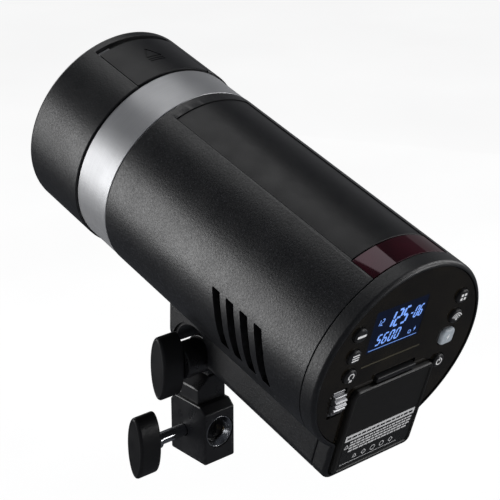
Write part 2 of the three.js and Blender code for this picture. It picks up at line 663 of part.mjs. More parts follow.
function buildDome() {
  const { y, outer, inner, lowestAngle } = DOME;
  const quarter = (radius) => {
    const points = arc(0, y, radius, lowestAngle, Math.PI / 2, 10).map((point) => point.toArray());
    points[points.length - 1][0] = 0;
    return points;
  };
  const shell = lathe([...quarter(inner).reverse(), ...quarter(outer)], MEDIUM_ROUND);
  return piece('glass_dome', shell, 0xe6eaec, 0.35, 0.0);
}

function buildCap() {
  const { y0, y1, outer, inner, face, edge } = CAP;
  const corner = 1.2;
  const rim = arc(outer - edge, y1 - edge, edge, 0, Math.PI / 2, 4).map((point) => point.toArray());
  const shell = lathe([
    [0, y1 - face], [inner - corner, y1 - face], [inner, y1 - face - corner], [inner, y0],
    [outer, y0], ...rim, [0, y1],
  ]);
  const recess = arcRecess(LATCH.inner - GAP, LATCH, y0 - OVERCUT, LATCH.slotEnd);
  return piece('front_cap', cut(shell, recess), 0x19191b, 0.6, 0.1);
}

function buildCapLatch() {
  const plate = alongY(archShape(LATCH.inner, LATCH.outer, LATCH.half), LATCH.y0, LATCH.y1);
  return piece('cap_latch', plate, 0x1c1c1e, 0.55, 0.1);
}

// ================================================================ assembly

function buildHead() {
  const head = new THREE.Group();
  head.name = 'head';
  head.position.set(0, -PIVOT.y, -PIVOT.z);
  head.add(
    buildHousing(), buildBezel(), buildTopStrip(), buildSensorWindow(), ...buildVentScreens(),
    buildRearPanel(), ...buildScreen(), ...buildButtons(), ...buildDial(),
    buildBattery(), buildBatteryLabel(), buildBatteryLatch(), buildContacts(),
    buildControlBoard(), board('main_board', MAIN_BOARD), board('sensor_board', SENSOR_BOARD),
    buildFanFrame(), buildFanRotor(),
    buildCapacitor('capacitor_left', -1), buildCapacitor('capacitor_right', 1),
    buildSilverRing(), buildMountRing(), buildReflector(), ...buildLightSources(), buildDome(),
    buildCap(), buildCapLatch(),
  );
  return head;
}

const tilt = new THREE.Group();
tilt.name = 'tilt';
tilt.position.set(HEAD_OFFSET_X, 0, PIVOT_HEIGHT);
tilt.rotation.x = HEAD_PITCH;
tilt.add(buildHead());

const group = new THREE.Group();
group.name = 'monolight';
group.add(
  buildBracket(), buildUmbrellaBush('umbrella_bush_rear', -1), buildUmbrellaBush('umbrella_bush_front', 1),
  buildTiltHardware(), buildStandLock(), tilt,
);

export default group;
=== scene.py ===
# A battery monolight strobe on its stand bracket: detailed pieces, materials, light and camera.
# Pieces are drawn in millimetres, in the head's own frame or the bracket's, and placed in metres.
import json
import math
import random

import bmesh
import bpy
from mathutils import Matrix, Vector

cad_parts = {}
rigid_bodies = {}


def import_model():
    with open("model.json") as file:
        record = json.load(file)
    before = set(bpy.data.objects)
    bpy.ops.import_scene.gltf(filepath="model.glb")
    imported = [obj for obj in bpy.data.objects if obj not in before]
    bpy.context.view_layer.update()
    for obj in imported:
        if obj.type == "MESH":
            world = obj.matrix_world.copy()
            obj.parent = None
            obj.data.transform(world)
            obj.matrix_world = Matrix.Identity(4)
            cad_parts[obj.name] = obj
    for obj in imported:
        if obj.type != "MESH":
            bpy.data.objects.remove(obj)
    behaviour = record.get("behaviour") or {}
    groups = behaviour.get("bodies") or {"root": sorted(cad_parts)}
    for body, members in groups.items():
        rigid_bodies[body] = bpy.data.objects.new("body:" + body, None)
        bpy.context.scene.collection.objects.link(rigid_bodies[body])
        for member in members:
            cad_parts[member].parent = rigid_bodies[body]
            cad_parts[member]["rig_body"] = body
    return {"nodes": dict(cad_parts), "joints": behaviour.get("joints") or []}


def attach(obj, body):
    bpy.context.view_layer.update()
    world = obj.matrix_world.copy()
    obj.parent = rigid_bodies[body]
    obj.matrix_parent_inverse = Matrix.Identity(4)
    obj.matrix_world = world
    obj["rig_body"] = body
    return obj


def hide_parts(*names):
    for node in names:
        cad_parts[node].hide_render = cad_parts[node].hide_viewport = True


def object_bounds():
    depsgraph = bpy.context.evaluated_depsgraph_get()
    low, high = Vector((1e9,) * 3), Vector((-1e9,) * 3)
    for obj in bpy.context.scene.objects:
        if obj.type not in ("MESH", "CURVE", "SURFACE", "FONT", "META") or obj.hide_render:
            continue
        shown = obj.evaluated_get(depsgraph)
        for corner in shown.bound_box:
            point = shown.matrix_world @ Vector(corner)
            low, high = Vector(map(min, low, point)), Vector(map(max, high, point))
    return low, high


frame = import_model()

CAD_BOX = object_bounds()
MM = 0.001
GAP = 0.3                # play between neighbours
OVERCUT = 2.0            # reach of a cutter past the surface that it cuts
ROUND, MEDIUM_ROUND, SMALL_ROUND = 192, 96, 24
ON_AXIS = 1e-4
SAME_PLACE = 0.01
SHARPEST_MITRE = 0.3
SHARP_ANGLE = 40

# ---- the camera stands behind, left of and above the head
CAMERA_DIRECTION = Vector((0.6133, 0.7004, -0.3651))
CAMERA_AIM_FROM_PIVOT = Vector((-12.3, -24.4, 53.8)) * MM
CAMERA_DISTANCE = 0.6
CAMERA_LENS = 104.65
SENSOR_WIDTH = 36.0
FLOOR_DROP = 0.30


# ======== frames and CAD sizes

def joint(name):
    return next(j for j in frame["joints"] if j["name"] == name)


def middle(values):
    return (min(values) + max(values)) / 2


def nose_up():
    """Angle by which the head points up at rest."""
    forward = Vector(joint("cap_slide")["axis"])
    return math.atan2(forward.z, forward.y)


HEAD_TILT = nose_up()


def head_frame():
    """Placement of the head's own frame: on the tube axis at the rear rim, Y forward, Z up."""
    turn = Matrix.Rotation(HEAD_TILT, 4, "X")
    back = turn.inverted()
    ring = [back @ v.co for v in frame["nodes"]["silver_ring"].data.vertices]
    rim = [back @ v.co for v in frame["nodes"]["bezel"].data.vertices]
    origin = (middle([p.x for p in ring]), min(p.y for p in rim), middle([p.z for p in ring]))
    return turn @ Matrix.Translation(origin)


HEAD = head_frame()
BRACKET = Matrix.Identity(4)


def points_of(node, place=HEAD):
    """Vertices of a CAD node in a frame, in millimetres."""
    inverse = place.inverted()
    return [inverse @ v.co / MM for v in frame["nodes"][node].data.vertices]


def span(node, place=HEAD):
    """Lowest and highest corner of a CAD node in a frame, in millimetres."""
    points = points_of(node, place)
    low = Vector([min(p[i] for p in points) for i in range(3)])
    high = Vector([max(p[i] for p in points) for i in range(3)])
    return low, high


def centre_of(node, place=HEAD):
    low, high = span(node, place)
    return (low + high) / 2


def reach_of(node):
    """Least and greatest distance of a CAD node from the tube's axis."""
    reach = [math.hypot(*p.xz) for p in points_of(node)]
    return min(reach), max(reach)


def half_angle(node):
    """Half the angle that a curved plate spans round the tube's axis, in degrees."""
    high = span(node)[1]
    return math.degrees(math.asin(high.x / high.z))


PIVOT = HEAD.inverted() @ Vector(joint("lamp_tilt")["pos_m"]) / MM


# ======== outlines

def arc(radius, start, end, steps, centre=(0.0, 0.0)):
    """Points of an arc, its angles in degrees."""
    points = []
    for i in range(steps + 1):
        angle = math.radians(start + (end - start) * i / steps)
        points.append((centre[0] + radius * math.cos(angle), centre[1] + radius * math.sin(angle)))
    return points


def circle(radius, centre=(0.0, 0.0), steps=MEDIUM_ROUND):
    return arc(radius, 0, 360, steps, centre)[:-1]


def rounded(corners, steps=6):
    """Outline whose corners (u, v, radius) are rounded."""
    outline = []
    for i, (u, v, radius) in enumerate(corners):
        here = Vector((u, v))
        if radius == 0:
            outline.append((u, v))
            continue
        before = (Vector(corners[i - 1][:2]) - here).normalized()
        after = (Vector(corners[(i + 1) % len(corners)][:2]) - here).normalized()
        half = before.angle(after) / 2
        centre = here + (before + after).normalized() * radius / math.sin(half)
        first = here + before * radius / math.tan(half) - centre
        last = here + after * radius / math.tan(half) - centre
        start = math.degrees(math.atan2(first.y, first.x))
        sweep = math.degrees(math.atan2(last.y, last.x)) - start
        sweep = (sweep + 180) % 360 - 180
        outline.extend(arc(radius, start, start + sweep, steps, centre))
    return outline


def rectangle(u0, u1, v0, v1, corner=0.0, steps=6):
    return rounded([(u, v, corner) for u, v in ((u0, v0), (u1, v0), (u1, v1), (u0, v1))], steps)


def bar(start, end, width):
    """Outline of a straight stroke between two points."""
    start, end = Vector(start), Vector(end)
    side = (end - start).normalized().orthogonal() * width / 2
    return [tuple(p) for p in (start + side, start - side, end - side, end + side)]


def strokes(points, width):
    """Outlines of the straight strokes that join a row of points."""
    return [bar(a, b, width) for a, b in zip(points, points[1:])]


def counter_clockwise(outline):
    area = sum(a[0] * b[1] - b[0] * a[1] for a, b in zip(outline, outline[1:] + outline[:1]))
    return list(outline) if area > 0 else list(reversed(outline))


def inset(outline, distance):
    """A counter-clockwise outline moved inwards, its corners mitred."""
    moved = []
    for i, here in enumerate(outline):
        here = Vector(here)
        arriving = (here - Vector(outline[i - 1])).normalized()
        leaving = (Vector(outline[(i + 1) % len(outline)]) - here).normalized()
        normal = Vector((-(arriving + leaving).y, (arriving + leaving).x)).normalized()
        mitre = max(SHARPEST_MITRE, normal.dot(Vector((-arriving.y, arriving.x))))
        moved.append(tuple(here + normal * distance / mitre))
    return moved


def arch(inner, outer, half, steps=40, centre=90):
    """Section of a curved plate on the tube, half its angle either side of the centre."""
    return arc(outer, centre - half, centre + half, steps) + arc(inner, centre + half, centre - half, steps)


# ======== solids

AXES = {
    "X": lambda u, v, t: (t, u, v),
    "Y": lambda u, v, t: (u, t, v),
    "Z": lambda u, v, t: (u, v, t),
}


def loft(outline, layers, axis="Y"):
    """Closed solid through copies of an outline: each layer is (inset, place along the axis)."""
    outline = counter_clockwise(outline)
    bm = bmesh.new()
    rings = [[bm.verts.new(AXES[axis](u, v, t)) for u, v in inset(outline, d)] for d, t in layers]
    count = len(outline)
    for low, high in zip(rings, rings[1:]):
        for i in range(count):
            j = (i + 1) % count
            bm.faces.new((low[i], low[j], high[j], high[i]))
    bm.faces.new(rings[0])
    bm.faces.new(rings[-1])
    bmesh.ops.recalc_face_normals(bm, faces=bm.faces)
    return bm


def soft_layers(low, high, low_edge, high_edge, steps=4):
    """Layers of a prism whose first and last rim are rounded."""
    turns = [math.radians(90 * i / steps) for i in range(steps + 1)]
    start = [(low_edge * (1 - math.sin(a)), low + low_edge * (1 - math.cos(a))) for a in turns]
    end = [(high_edge * (1 - math.sin(a)), high - high_edge * (1 - math.cos(a))) for a in reversed(turns)]
    return (start if low_edge else [(0.0, low)]) + (end if high_edge else [(0.0, high)])


def prism(outline, low, high, axis="Y", edge=0.0, steps=4):
    return loft(outline, soft_layers(low, high, edge, edge, steps), axis)


def lathe(profile, axis="Y", centre=(0.0, 0.0), steps=ROUND):
    """Solid turned about an axis; its profile of (radius, place along the axis) closes on itself."""
    bm = bmesh.new()
    rings = []
    for radius, t in profile:
        points = circle(radius, centre, steps) if radius > ON_AXIS else [centre]
        rings.append([bm.verts.new(AXES[axis](u, v, t)) for u, v in points])
    for a, b in zip(rings, rings[1:] + rings[:1]):
        for i in range(steps):
            j = (i + 1) % steps
            corners = [a[i % len(a)], a[j % len(a)], b[j % len(b)], b[i % len(b)]]
            corners = list(dict.fromkeys(corners))
            if len(corners) > 2:
                bm.faces.new(corners)
    bmesh.ops.recalc_face_normals(bm, faces=bm.faces)
    return bm


def rod(radius, low, high, axis="Y", centre=(0.0, 0.0), edge=0.0, steps=MEDIUM_ROUND):
    return prism(circle(radius, centre, steps), low, high, axis, edge)


def add_object(name, data):
    obj = bpy.data.objects.new(name, data)
    bpy.context.scene.collection.objects.link(obj)
    return obj


def mesh_of(bm, name="solid"):
    """Mesh of a solid, which is freed."""
    mesh = bpy.data.meshes.new(name)
    bm.to_mesh(mesh)
    bm.free()
    return mesh


def combine(base, tools, operation):
    """The base solid after a boolean with each tool."""
    holders = [add_object("holder", mesh_of(bm)) for bm in (base, *tools)]
    for tool in holders[1:]:
        step = holders[0].modifiers.new("step", "BOOLEAN")
        step.operation = operation
        step.solver = "EXACT"
        step.object = tool
    result = bmesh.new()
    result.from_object(holders[0], bpy.context.evaluated_depsgraph_get())
    for obj in holders:
        mesh = obj.data
        bpy.data.objects.remove(obj)
        bpy.data.meshes.remove(mesh)
    return result


def carve(base, *tools):
    return combine(base, tools, "DIFFERENCE")


def join(base, *tools):
    return combine(base, tools, "UNION")


def soften(bm, width, sharpest=38, steps=2):
    """Rounds every edge where two faces meet at more than an angle."""
    bmesh.ops.remove_doubles(bm, verts=bm.verts, dist=width / 5)
    limit = math.radians(sharpest)
    edges = [e for e in bm.edges if len(e.link_faces) == 2 and e.calc_face_angle(0.0) > limit]
    bmesh.ops.bevel(
        bm, geom=edges, offset=width, offset_type="OFFSET", segments=steps,
        profile=0.5, affect="EDGES", clamp_overlap=True,
    )
    return bm


# ======== pieces

def piece(name, bm, material, node, place=HEAD, replaces=True):
    """Puts a solid in the scene, riding on the body of a CAD node."""
    mesh = mesh_of(bm, name)
    mesh.transform(place @ Matrix.Scale(MM, 4))
    mesh.materials.append(material)
    mesh.shade_smooth()
    mesh.set_sharp_from_angle(angle=math.radians(SHARP_ANGLE))
    obj = add_object(name, mesh)
    normals = obj.modifiers.new("normals", "WEIGHTED_NORMAL")
    normals.keep_sharp = True
    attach(obj, frame["nodes"][node]["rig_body"])
    if replaces:
        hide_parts(node)


def mark(name, outlines, low, high, material, node):
    """Puts flat marks in the scene as one piece, besides the piece that replaces their node."""
    whole = bmesh.new()
    for outline in outlines:
        mesh = mesh_of(prism(outline, low, high))
        whole.from_mesh(mesh)
        bpy.data.meshes.remove(mesh)
    piece(name, whole, material, node, replaces=False)


def dress(node, material):
    """Gives a CAD node that stays its finished material."""
    mesh = frame["nodes"][node].data
    mesh.materials.clear()
    mesh.materials.append(material)


# ======== materials

def new_material(name):
    """Material whose texture places are turned to run along the head."""
    material = bpy.data.materials.new(name)
    material.use_nodes = True
    tree = material.node_tree
    turned = tree.nodes.new("ShaderNodeMapping")
    turned.inputs["Rotation"].default_value = (-HEAD_TILT, 0, 0)
    tree.links.new(tree.nodes.new("ShaderNodeTexCoord").outputs["Object"], turned.inputs["Vector"])
    return material, tree.nodes["Principled BSDF"], turned.outputs["Vector"]


def add_node(near, kind, **inputs):
    """New node in the tree of a socket or node, with the sockets that feed it."""
    tree = near.id_data
    node = tree.nodes.new("ShaderNode" + kind)
    for name, source in inputs.items():
        tree.links.new(source, node.inputs[name])
    return node


def noise(place, size, detail=3.0, stretch=None):
    """Noise whose features are about size millimetres across."""
    if stretch:
        mapping = add_node(place, "Mapping", Vector=place)
        mapping.inputs["Scale"].default_value = stretch
        place = mapping.outputs["Vector"]
    texture = add_node(place, "TexNoise", Vector=place)
    texture.inputs["Scale"].default_value = 1 / (size * MM)
    texture.inputs["Detail"].default_value = detail
    return texture.outputs["Fac"]


def remap(value, low, high, start=0.3, end=0.7):
    """A value between start and end spread over low to high."""
    node = add_node(value, "MapRange", Value=value)
    for socket, number in zip(("From Min", "From Max", "To Min", "To Max"), (start, end, low, high)):
        node.inputs[socket].default_value = number
    return node.outputs["Result"]


def mix_colour(value, first, second):
    node = add_node(value, "Mix")
    node.data_type = "RGBA"
    node.inputs["A"].default_value = (*first, 1)
    node.inputs["B"].default_value = (*second, 1)
    value.id_data.links.new(value, node.inputs["Factor"])
    return node.outputs["Result"]


def feed(shader, socket, value):
    shader.id_data.links.new(value, shader.inputs[socket])


def add_bump(shader, height, strength, depth):
    """Bump of a depth in millimetres."""
    bump = add_node(shader, "Bump", Height=height)
    bump.inputs["Strength"].default_value = strength
    bump.inputs["Distance"].default_value = depth * MM
    feed(shader, "Normal", bump.outputs["Normal"])


def two_tone(shader, pattern, first, second, start=0.3, end=0.7, socket="Base Color"):
    """Colour that wanders between two with a pattern."""
    feed(shader, socket, mix_colour(remap(pattern, 0, 1, start, end), first, second))


def uneven_gloss(shader, pattern, least, most, start=0.3, end=0.7):
    """Roughness that wanders between two values with a pattern."""
    feed(shader, "Roughness", remap(pattern, least, most, start, end))


def arithmetic(operation, first, second):
    node = add_node(first, "Math")
    node.operation = operation
    for value, socket in zip((first, second), node.inputs):
        first.id_data.links.new(value, socket)
    return node.outputs["Value"]


def surface(name, dark, light, roughness, spread=0.04, metallic=0.0, grain=0.4, depth=0.02,
            mottle=3.0, stretch=None):
    """General finish: two mottled colours, uneven roughness and a fine grain in the surface."""
    material, shader, place = new_material(name)
    shader.inputs["Metallic"].default_value = metallic
    fine = noise(place, grain, 4.0, stretch)
    two_tone(shader, fine, dark, light)
    uneven_gloss(shader, noise(place, mottle, 2.0), roughness - spread, roughness + spread)
    add_bump(shader, fine, 0.6, depth)
    return material


CHARCOAL = (0.0035, 0.0037, 0.0044)
FLECK_SIZE, GRAIN_SIZE, SPECKLE_SIZE, WEAR_SIZE = 0.6, 0.9, 0.75, 14
GRAIN_DEPTH, SPECKLE_SPREAD, WEAR_SPREAD = 0.072, 0.06, 0.03


def flecked_paint(name, roughness, fleck):
    """Satin charcoal paint with fine lighter flecks and an orange-peel grain."""
    material, shader, place = new_material(name)
    shader.inputs["Specular IOR Level"].default_value = 0.9
    two_tone(shader, noise(place, FLECK_SIZE, 2.0), CHARCOAL, fleck, 0.58, 0.72)
    wear = remap(noise(place, WEAR_SIZE, 3.0), -WEAR_SPREAD, WEAR_SPREAD)
    speckle = noise(place, SPECKLE_SIZE, 1.0)
    speckle = remap(speckle, roughness - SPECKLE_SPREAD, roughness + SPECKLE_SPREAD)
    feed(shader, "Roughness", arithmetic("ADD", wear, speckle))
    add_bump(shader, noise(place, GRAIN_SIZE, 4.0), 1.0, GRAIN_DEPTH)
    return material


def turned_silver(name):
    """Satin silver with fine lines running round the tube."""
    material, shader, place = new_material(name)
    shader.inputs["Metallic"].default_value = 0.7
    round_the_tube = (1, 220, 1)
    lines = noise(place, 18, 6.0, round_the_tube)
    two_tone(shader, lines, (0.52, 0.525, 0.535), (0.62, 0.625, 0.64))
    uneven_gloss(shader, noise(place, 9, 2.0), 0.39, 0.45)
    add_bump(shader, lines, 0.25, 0.02)
    return material


def coated_metal_worn_and_edge_lit(name, coat, bare_and_sheen, roughness):
    """Powder-coated metal whose convex edges turn a lighter grey in patches: a painted edge highlight that
    also reads as wear.
    """
    material, shader, place = new_material(name)
    shader.inputs["Specular IOR Level"].default_value = 0.8
    geometry = add_node(shader, "NewGeometry")
    # Painted edge highlight: pointy convex edges take the lighter colour, broken into patches like wear.
    edge = remap(geometry.outputs["Pointiness"], 0, 1, 0.56, 0.66)
    edge_patches = remap(noise(place, 1.1, 5.0), 0, 0.55, 0.42, 0.7)
    rubbed_and_sheen = arithmetic("MULTIPLY", edge, edge_patches)
    feed(shader, "Base Color", mix_colour(rubbed_and_sheen, coat, bare_and_sheen))
    uneven_gloss(shader, noise(place, 5), roughness - 0.04, roughness + 0.05)
    add_bump(shader, noise(place, 0.8, 3.0), 0.4, 0.02)
    return material


def glossy(name, colour, tint, roughness, ior=1.5, mirror_tint=(1.0, 1.0, 1.0)):
    """Polished plastic with faint dust in its gloss."""
    material, shader, place = new_material(name)
    shader.inputs["IOR"].default_value = ior
    shader.inputs["Specular Tint"].default_value = (*mirror_tint, 1)
    broad = noise(place, 16, 2.0)
    two_tone(shader, broad, colour, tint)
    uneven_gloss(shader, noise(place, 0.8, 6.0), roughness, roughness + 0.04, 0.45, 0.8)
    add_bump(shader, broad, 0.2, 0.01)
    return material


def glowing(name, colour, strength, size=2.0):
    """Lit segments or backlight, a little uneven."""
    material, shader, place = new_material(name)
    shader.inputs["Base Color"].default_value = (0.001, 0.002, 0.004, 1)
    shader.inputs["Roughness"].default_value = 0.12
    shader.inputs["Emission Strength"].default_value = strength
    dimmer = [c * 0.75 for c in colour]
    two_tone(shader, noise(place, size), dimmer, colour, socket="Emission Color")
    add_bump(shader, noise(place, 0.6), 0.1, 0.01)
    return material


def clear_glass(name, colour, roughness):
    """Glass with a faint waviness."""
    material, shader, place = new_material(name)
    shader.inputs["Transmission Weight"].default_value = 1.0
    waves = noise(place, 6, 2.0)
    two_tone(shader, waves, [c * 0.94 for c in colour], colour)
    uneven_gloss(shader, waves, roughness, roughness + 0.05)
    add_bump(shader, waves, 0.1, 0.02)
    return material


def circuit_board(name):
    """Green solder mask over a pattern of copper tracks."""
    material, shader, place = new_material(name)
    tracks = add_node(shader, "TexBrick", Vector=place)
    tracks.inputs["Scale"].default_value = 160
    tracks.inputs["Mortar Size"].default_value = 0.06
    tracks.inputs["Color1"].default_value = (0.01, 0.09, 0.05, 1)
    tracks.inputs["Color2"].default_value = (0.015, 0.12, 0.06, 1)
    tracks.inputs["Mortar"].default_value = (0.05, 0.24, 0.1, 1)
    feed(shader, "Base Color", tracks.outputs["Color"])
    uneven_gloss(shader, noise(place, 4), 0.25, 0.4)
    add_bump(shader, tracks.outputs["Fac"], 0.4, 0.03)
    return material


def perforated(name):
    """Black sheet with rows of small holes that are only painted: darker, rougher, dimpled spots as painted
    shade where openings would be.
    """
    material, shader, place = new_material(name)
    cells = add_node(shader, "TexVoronoi", Vector=place)
    cells.inputs["Scale"].default_value = 650
    cells.inputs["Randomness"].default_value = 0.0
    # Painted shade: the holes get a darker colour in place of real openings.
    hole = remap(cells.outputs["Distance"], 0, 1, 0.25, 0.4)
    feed(shader, "Base Color", mix_colour(hole, (0.001, 0.001, 0.001), (0.02, 0.02, 0.022)))
    uneven_gloss(shader, hole, 0.9, 0.5, 0, 1)
    add_bump(shader, hole, 0.8, 0.2)
    return material


# ---- the finishes, each with its darker and its lighter colour
PAINT = flecked_paint("flecked_charcoal", 0.38, (0.035, 0.036, 0.042))
BEZEL_PAINT = flecked_paint("bezel_charcoal", 0.42, (0.02, 0.021, 0.024))
CAP_PAINT = flecked_paint("cap_charcoal", 0.40, (0.014, 0.0145, 0.017))
SATIN = surface(
    "satin_black", (0.0065, 0.0065, 0.0072), (0.013, 0.013, 0.0145), 0.38, grain=0.5, depth=0.03, mottle=9)
SILVER = turned_silver("turned_silver")
RUBBER = surface(
    "knob_black", (0.004, 0.004, 0.0046), (0.008, 0.008, 0.009), 0.33, grain=0.45, depth=0.03, mottle=6)
COATED = coated_metal_worn_and_edge_lit("coated_casting", (0.006, 0.006, 0.007), (0.07, 0.07, 0.075), 0.3)
STEEL = surface(
    "polished_steel", (0.62, 0.63, 0.65), (0.76, 0.77, 0.79), 0.13, 0.05,
    metallic=1.0, grain=0.6, depth=0.008, mottle=2.5, stretch=(6, 1, 1))
LINER = surface(
    "machined_liner", (0.6, 0.61, 0.63), (0.75, 0.76, 0.78), 0.22, 0.06,
    metallic=1.0, grain=0.5, mottle=2.0, stretch=(1, 5, 1))
BRASS = surface(
    "turned_brass", (0.5, 0.33, 0.1), (0.62, 0.43, 0.16), 0.25, 0.05, metallic=1.0, grain=0.5, depth=0.01)
PANEL = glossy("panel_gloss", (0.0045, 0.0038, 0.003), (0.0095, 0.0078, 0.0052), 0.09)
WINDOW = glossy(
    "red_window", (0.024, 0.0022, 0.005), (0.05, 0.0045, 0.01), 0.035, 1.6, mirror_tint=(1.0, 0.74, 0.84))
KEYS = surface("button_black", (0.011, 0.011, 0.012), (0.017, 0.017, 0.018), 0.36, grain=0.5, depth=0.01)
FROSTED_KEY = surface("frosted_key", (0.32, 0.36, 0.4), (0.42, 0.46, 0.5), 0.22, grain=1.2, mottle=4)
DIAL = surface(
    "dial_metal", (0.26, 0.26, 0.27), (0.36, 0.36, 0.37), 0.3, 0.05, metallic=0.9, grain=1.5, depth=0.004)
BATTERY = surface(
    "battery_shell", (0.0055, 0.0052, 0.0048), (0.0105, 0.01, 0.0092), 0.33, grain=0.5, depth=0.03, mottle=8)
GREY_PRINT = surface("print_grey", (0.5, 0.5, 0.505), (0.6, 0.6, 0.61), 0.4, grain=0.6, depth=0.005)
PRINT = surface("print_white", (0.75, 0.75, 0.76), (0.85, 0.85, 0.86), 0.4, grain=0.6, depth=0.005)
DIM_PRINT = surface("print_dim", (0.05, 0.044, 0.026), (0.065, 0.058, 0.036), 0.35, grain=0.6, depth=0.005)
LABEL = surface("label_film", (0.007, 0.007, 0.007), (0.011, 0.011, 0.011), 0.3, grain=1.5, depth=0.01)
LCD_BACK = glowing("lcd_backlight", (0.0006, 0.0024, 0.012), 1.0, 7.0)
LCD_DIGIT = glowing("lcd_digit", (0.2, 0.38, 0.95), 1.25)


# ======== head: shell

HOUSING_LOW, HOUSING_HIGH = span("housing")
TUBE_RADIUS = (HOUSING_HIGH.x - HOUSING_LOW.x) / 2
WALL = 3.2
BORE_RADIUS = TUBE_RADIUS - WALL
BODY_REAR, BODY_FRONT = HOUSING_LOW.y, HOUSING_HIGH.y
KEEL_BOTTOM = span("bezel")[0].z
KEEL_HALF, KEEL_CORNER, KEEL_EDGE = 25.2, 5.5, 1.6
KEEL_FRONT, KEEL_TOE, KEEL_NOSE_Z, KEEL_ROOT_Z = 106.2, 101.5, -36.5, -12
BAY_END, BAY_INSET, BAY_FLOOR, BAY_CORNER = 70.5, 0.1, 0.6, 4.0
CORE_RADIUS, CORE_END = BORE_RADIUS + 1, 140
POCKET_RADIUS, POCKET_AHEAD, POCKET_ABOVE = 10.8, 1.4, 3.6
POCKET_RIM, POCKET_RIM_DEPTH = 1.3, 1.2
LUG_LEFT, LUG_WIDTH, LUG_ROOT_Z, EAR_RADIUS = -10.3, 9.5, -44, 8.8
PIVOT_BORE, PIVOT_BORE_END = 2.9, 1.0
VENT_REARS = (59.7, 51.2, 42.6, 33.9)
VENT_WIDTH, VENT_TOP, VENT_KNEE, VENT_FOOT = 4.9, 5.4, -3.6, -19.0
VENT_KNEE_LEAN, VENT_FOOT_LEAN, VENT_FLOOR = 3.9, 8.4, 34.0
VENT_CORNER, VENT_BEND = 0.5, 8.0
STRIP_FLOOR, WINDOW_FLOOR, SEAT_PLAY = 42.5, BORE_RADIUS - WALL, 0.4
BEZEL_REAR_EDGE, BEZEL_FRONT_EDGE, BEZEL_WALL = 1.8, 0.3, 2.0


def head_outline():
    """Rear view of the tube and the keel below it, counter-clockwise."""
    meet = math.degrees(math.acos(KEEL_HALF / TUBE_RADIUS))
    side, low = KEEL_HALF - KEEL_CORNER, KEEL_BOTTOM + KEEL_CORNER
    return (
        arc(TUBE_RADIUS, -meet, 180 + meet, ROUND)
        + arc(KEEL_CORNER, 180, 270, 8, (-side, low))
        + arc(KEEL_CORNER, 270, 360, 8, (side, low))
    )


def keel():
    """Battery housing below the tube, its toe rounded up towards the front."""
    cross = rectangle(-KEEL_HALF, KEEL_HALF, KEEL_BOTTOM, KEEL_ROOT_Z + OVERCUT, KEEL_CORNER, 8)
    below = KEEL_BOTTOM - OVERCUT
    side = rounded([
        (BODY_REAR, below, 0), (KEEL_TOE - 3, below, 0), (KEEL_TOE, KEEL_BOTTOM + 0.8, 3.0),
        (KEEL_FRONT, KEEL_NOSE_Z, 4.0), (KEEL_FRONT, KEEL_ROOT_Z, 0), (BODY_REAR, KEEL_ROOT_Z, 0),
    ])
    solid = combine(
        prism(cross, BODY_REAR, KEEL_FRONT + OVERCUT),
        [prism(side, -TUBE_RADIUS, TUBE_RADIUS, "X")],
        "INTERSECT",
    )
    return soften(solid, KEEL_EDGE, 50, 4)


def pocket(radius, x0, x1):
    """Arched recess in the keel's left side where the bracket's ear turns."""
    centre = (PIVOT.y + POCKET_AHEAD, PIVOT.z + POCKET_ABOVE)
    floor = KEEL_BOTTOM - OVERCUT
    outline = arc(radius, 0, 180, 48, centre) + [(centre[0] - radius, floor), (centre[0] + radius, floor)]
    return prism(outline, x0, x1, "X")


def vent(rear, side):
    """One slanted slot through the tube's side."""
    front = rear + VENT_WIDTH
    outline = rounded([
        (rear, VENT_TOP, VENT_CORNER),
        (rear - VENT_KNEE_LEAN, VENT_KNEE, VENT_BEND),
        (rear - VENT_FOOT_LEAN, VENT_FOOT, VENT_CORNER),
        (front - VENT_FOOT_LEAN, VENT_FOOT, VENT_CORNER),
        (front - VENT_KNEE_LEAN, VENT_KNEE, VENT_BEND),
        (front, VENT_TOP, VENT_CORNER),
    ])
    ends = sorted((side * VENT_FLOOR, side * (TUBE_RADIUS + OVERCUT)))
    return prism(outline, *ends, "X")


def arc_seat(node, floor, behind):
    """Cutter that seats a curved plate in the tube's top, down to a floor radius."""
    low, high = span(node)
    outline = arch(floor, TUBE_RADIUS + OVERCUT, half_angle(node) + SEAT_PLAY)
    return prism(outline, low.y - behind, high.y + GAP)


def build_housing():
    tube = lathe(rounded([
        (BORE_RADIUS, BODY_REAR, 0.3), (TUBE_RADIUS, BODY_REAR, 0.25),
        (TUBE_RADIUS, BODY_FRONT, 0.5), (BORE_RADIUS, BODY_FRONT, 0.3),
    ], 3))
    battery_low, battery_high = span("battery")
    bay_half = battery_high.x - BAY_INSET
    bay = rectangle(-bay_half, bay_half, battery_low.z + BAY_FLOOR, 0, BAY_CORNER)
    at_pivot = (PIVOT.y, PIVOT.z)
    lug_right = LUG_LEFT + LUG_WIDTH
    lug = rod(EAR_RADIUS, LUG_LEFT, lug_right, "X", at_pivot)
    web_outline = rectangle(LUG_LEFT, lug_right, PIVOT.z, LUG_ROOT_Z)
    lug_web = prism(web_outline, PIVOT.y - EAR_RADIUS, PIVOT.y + EAR_RADIUS)
    outside = -KEEL_HALF - OVERCUT
    below = carve(keel(), pocket(POCKET_RADIUS, outside, LUG_LEFT))
    below = carve(below, pocket(POCKET_RADIUS + POCKET_RIM, outside, -KEEL_HALF + POCKET_RIM_DEPTH))
    below = join(below, lug, lug_web)
    below = carve(below, lathe([(0, 0), (CORE_RADIUS, 0), (CORE_RADIUS, CORE_END), (0, CORE_END)]))
    shell = carve(
        join(tube, below),
        prism(bay, 0, BAY_END),
        pocket(POCKET_RADIUS, outside, LUG_LEFT),
        arc_seat("top_strip", STRIP_FLOOR, GAP),
        arc_seat("sensor_window", WINDOW_FLOOR, span("sensor_window")[0].y),
        rod(PIVOT_BORE, LUG_LEFT - OVERCUT, PIVOT_BORE_END, "X", at_pivot),
        *[vent(rear, side) for rear in VENT_REARS for side in (-1, 1)],
    )
    piece("housing_shell", soften(shell, 0.28), PAINT, "housing")


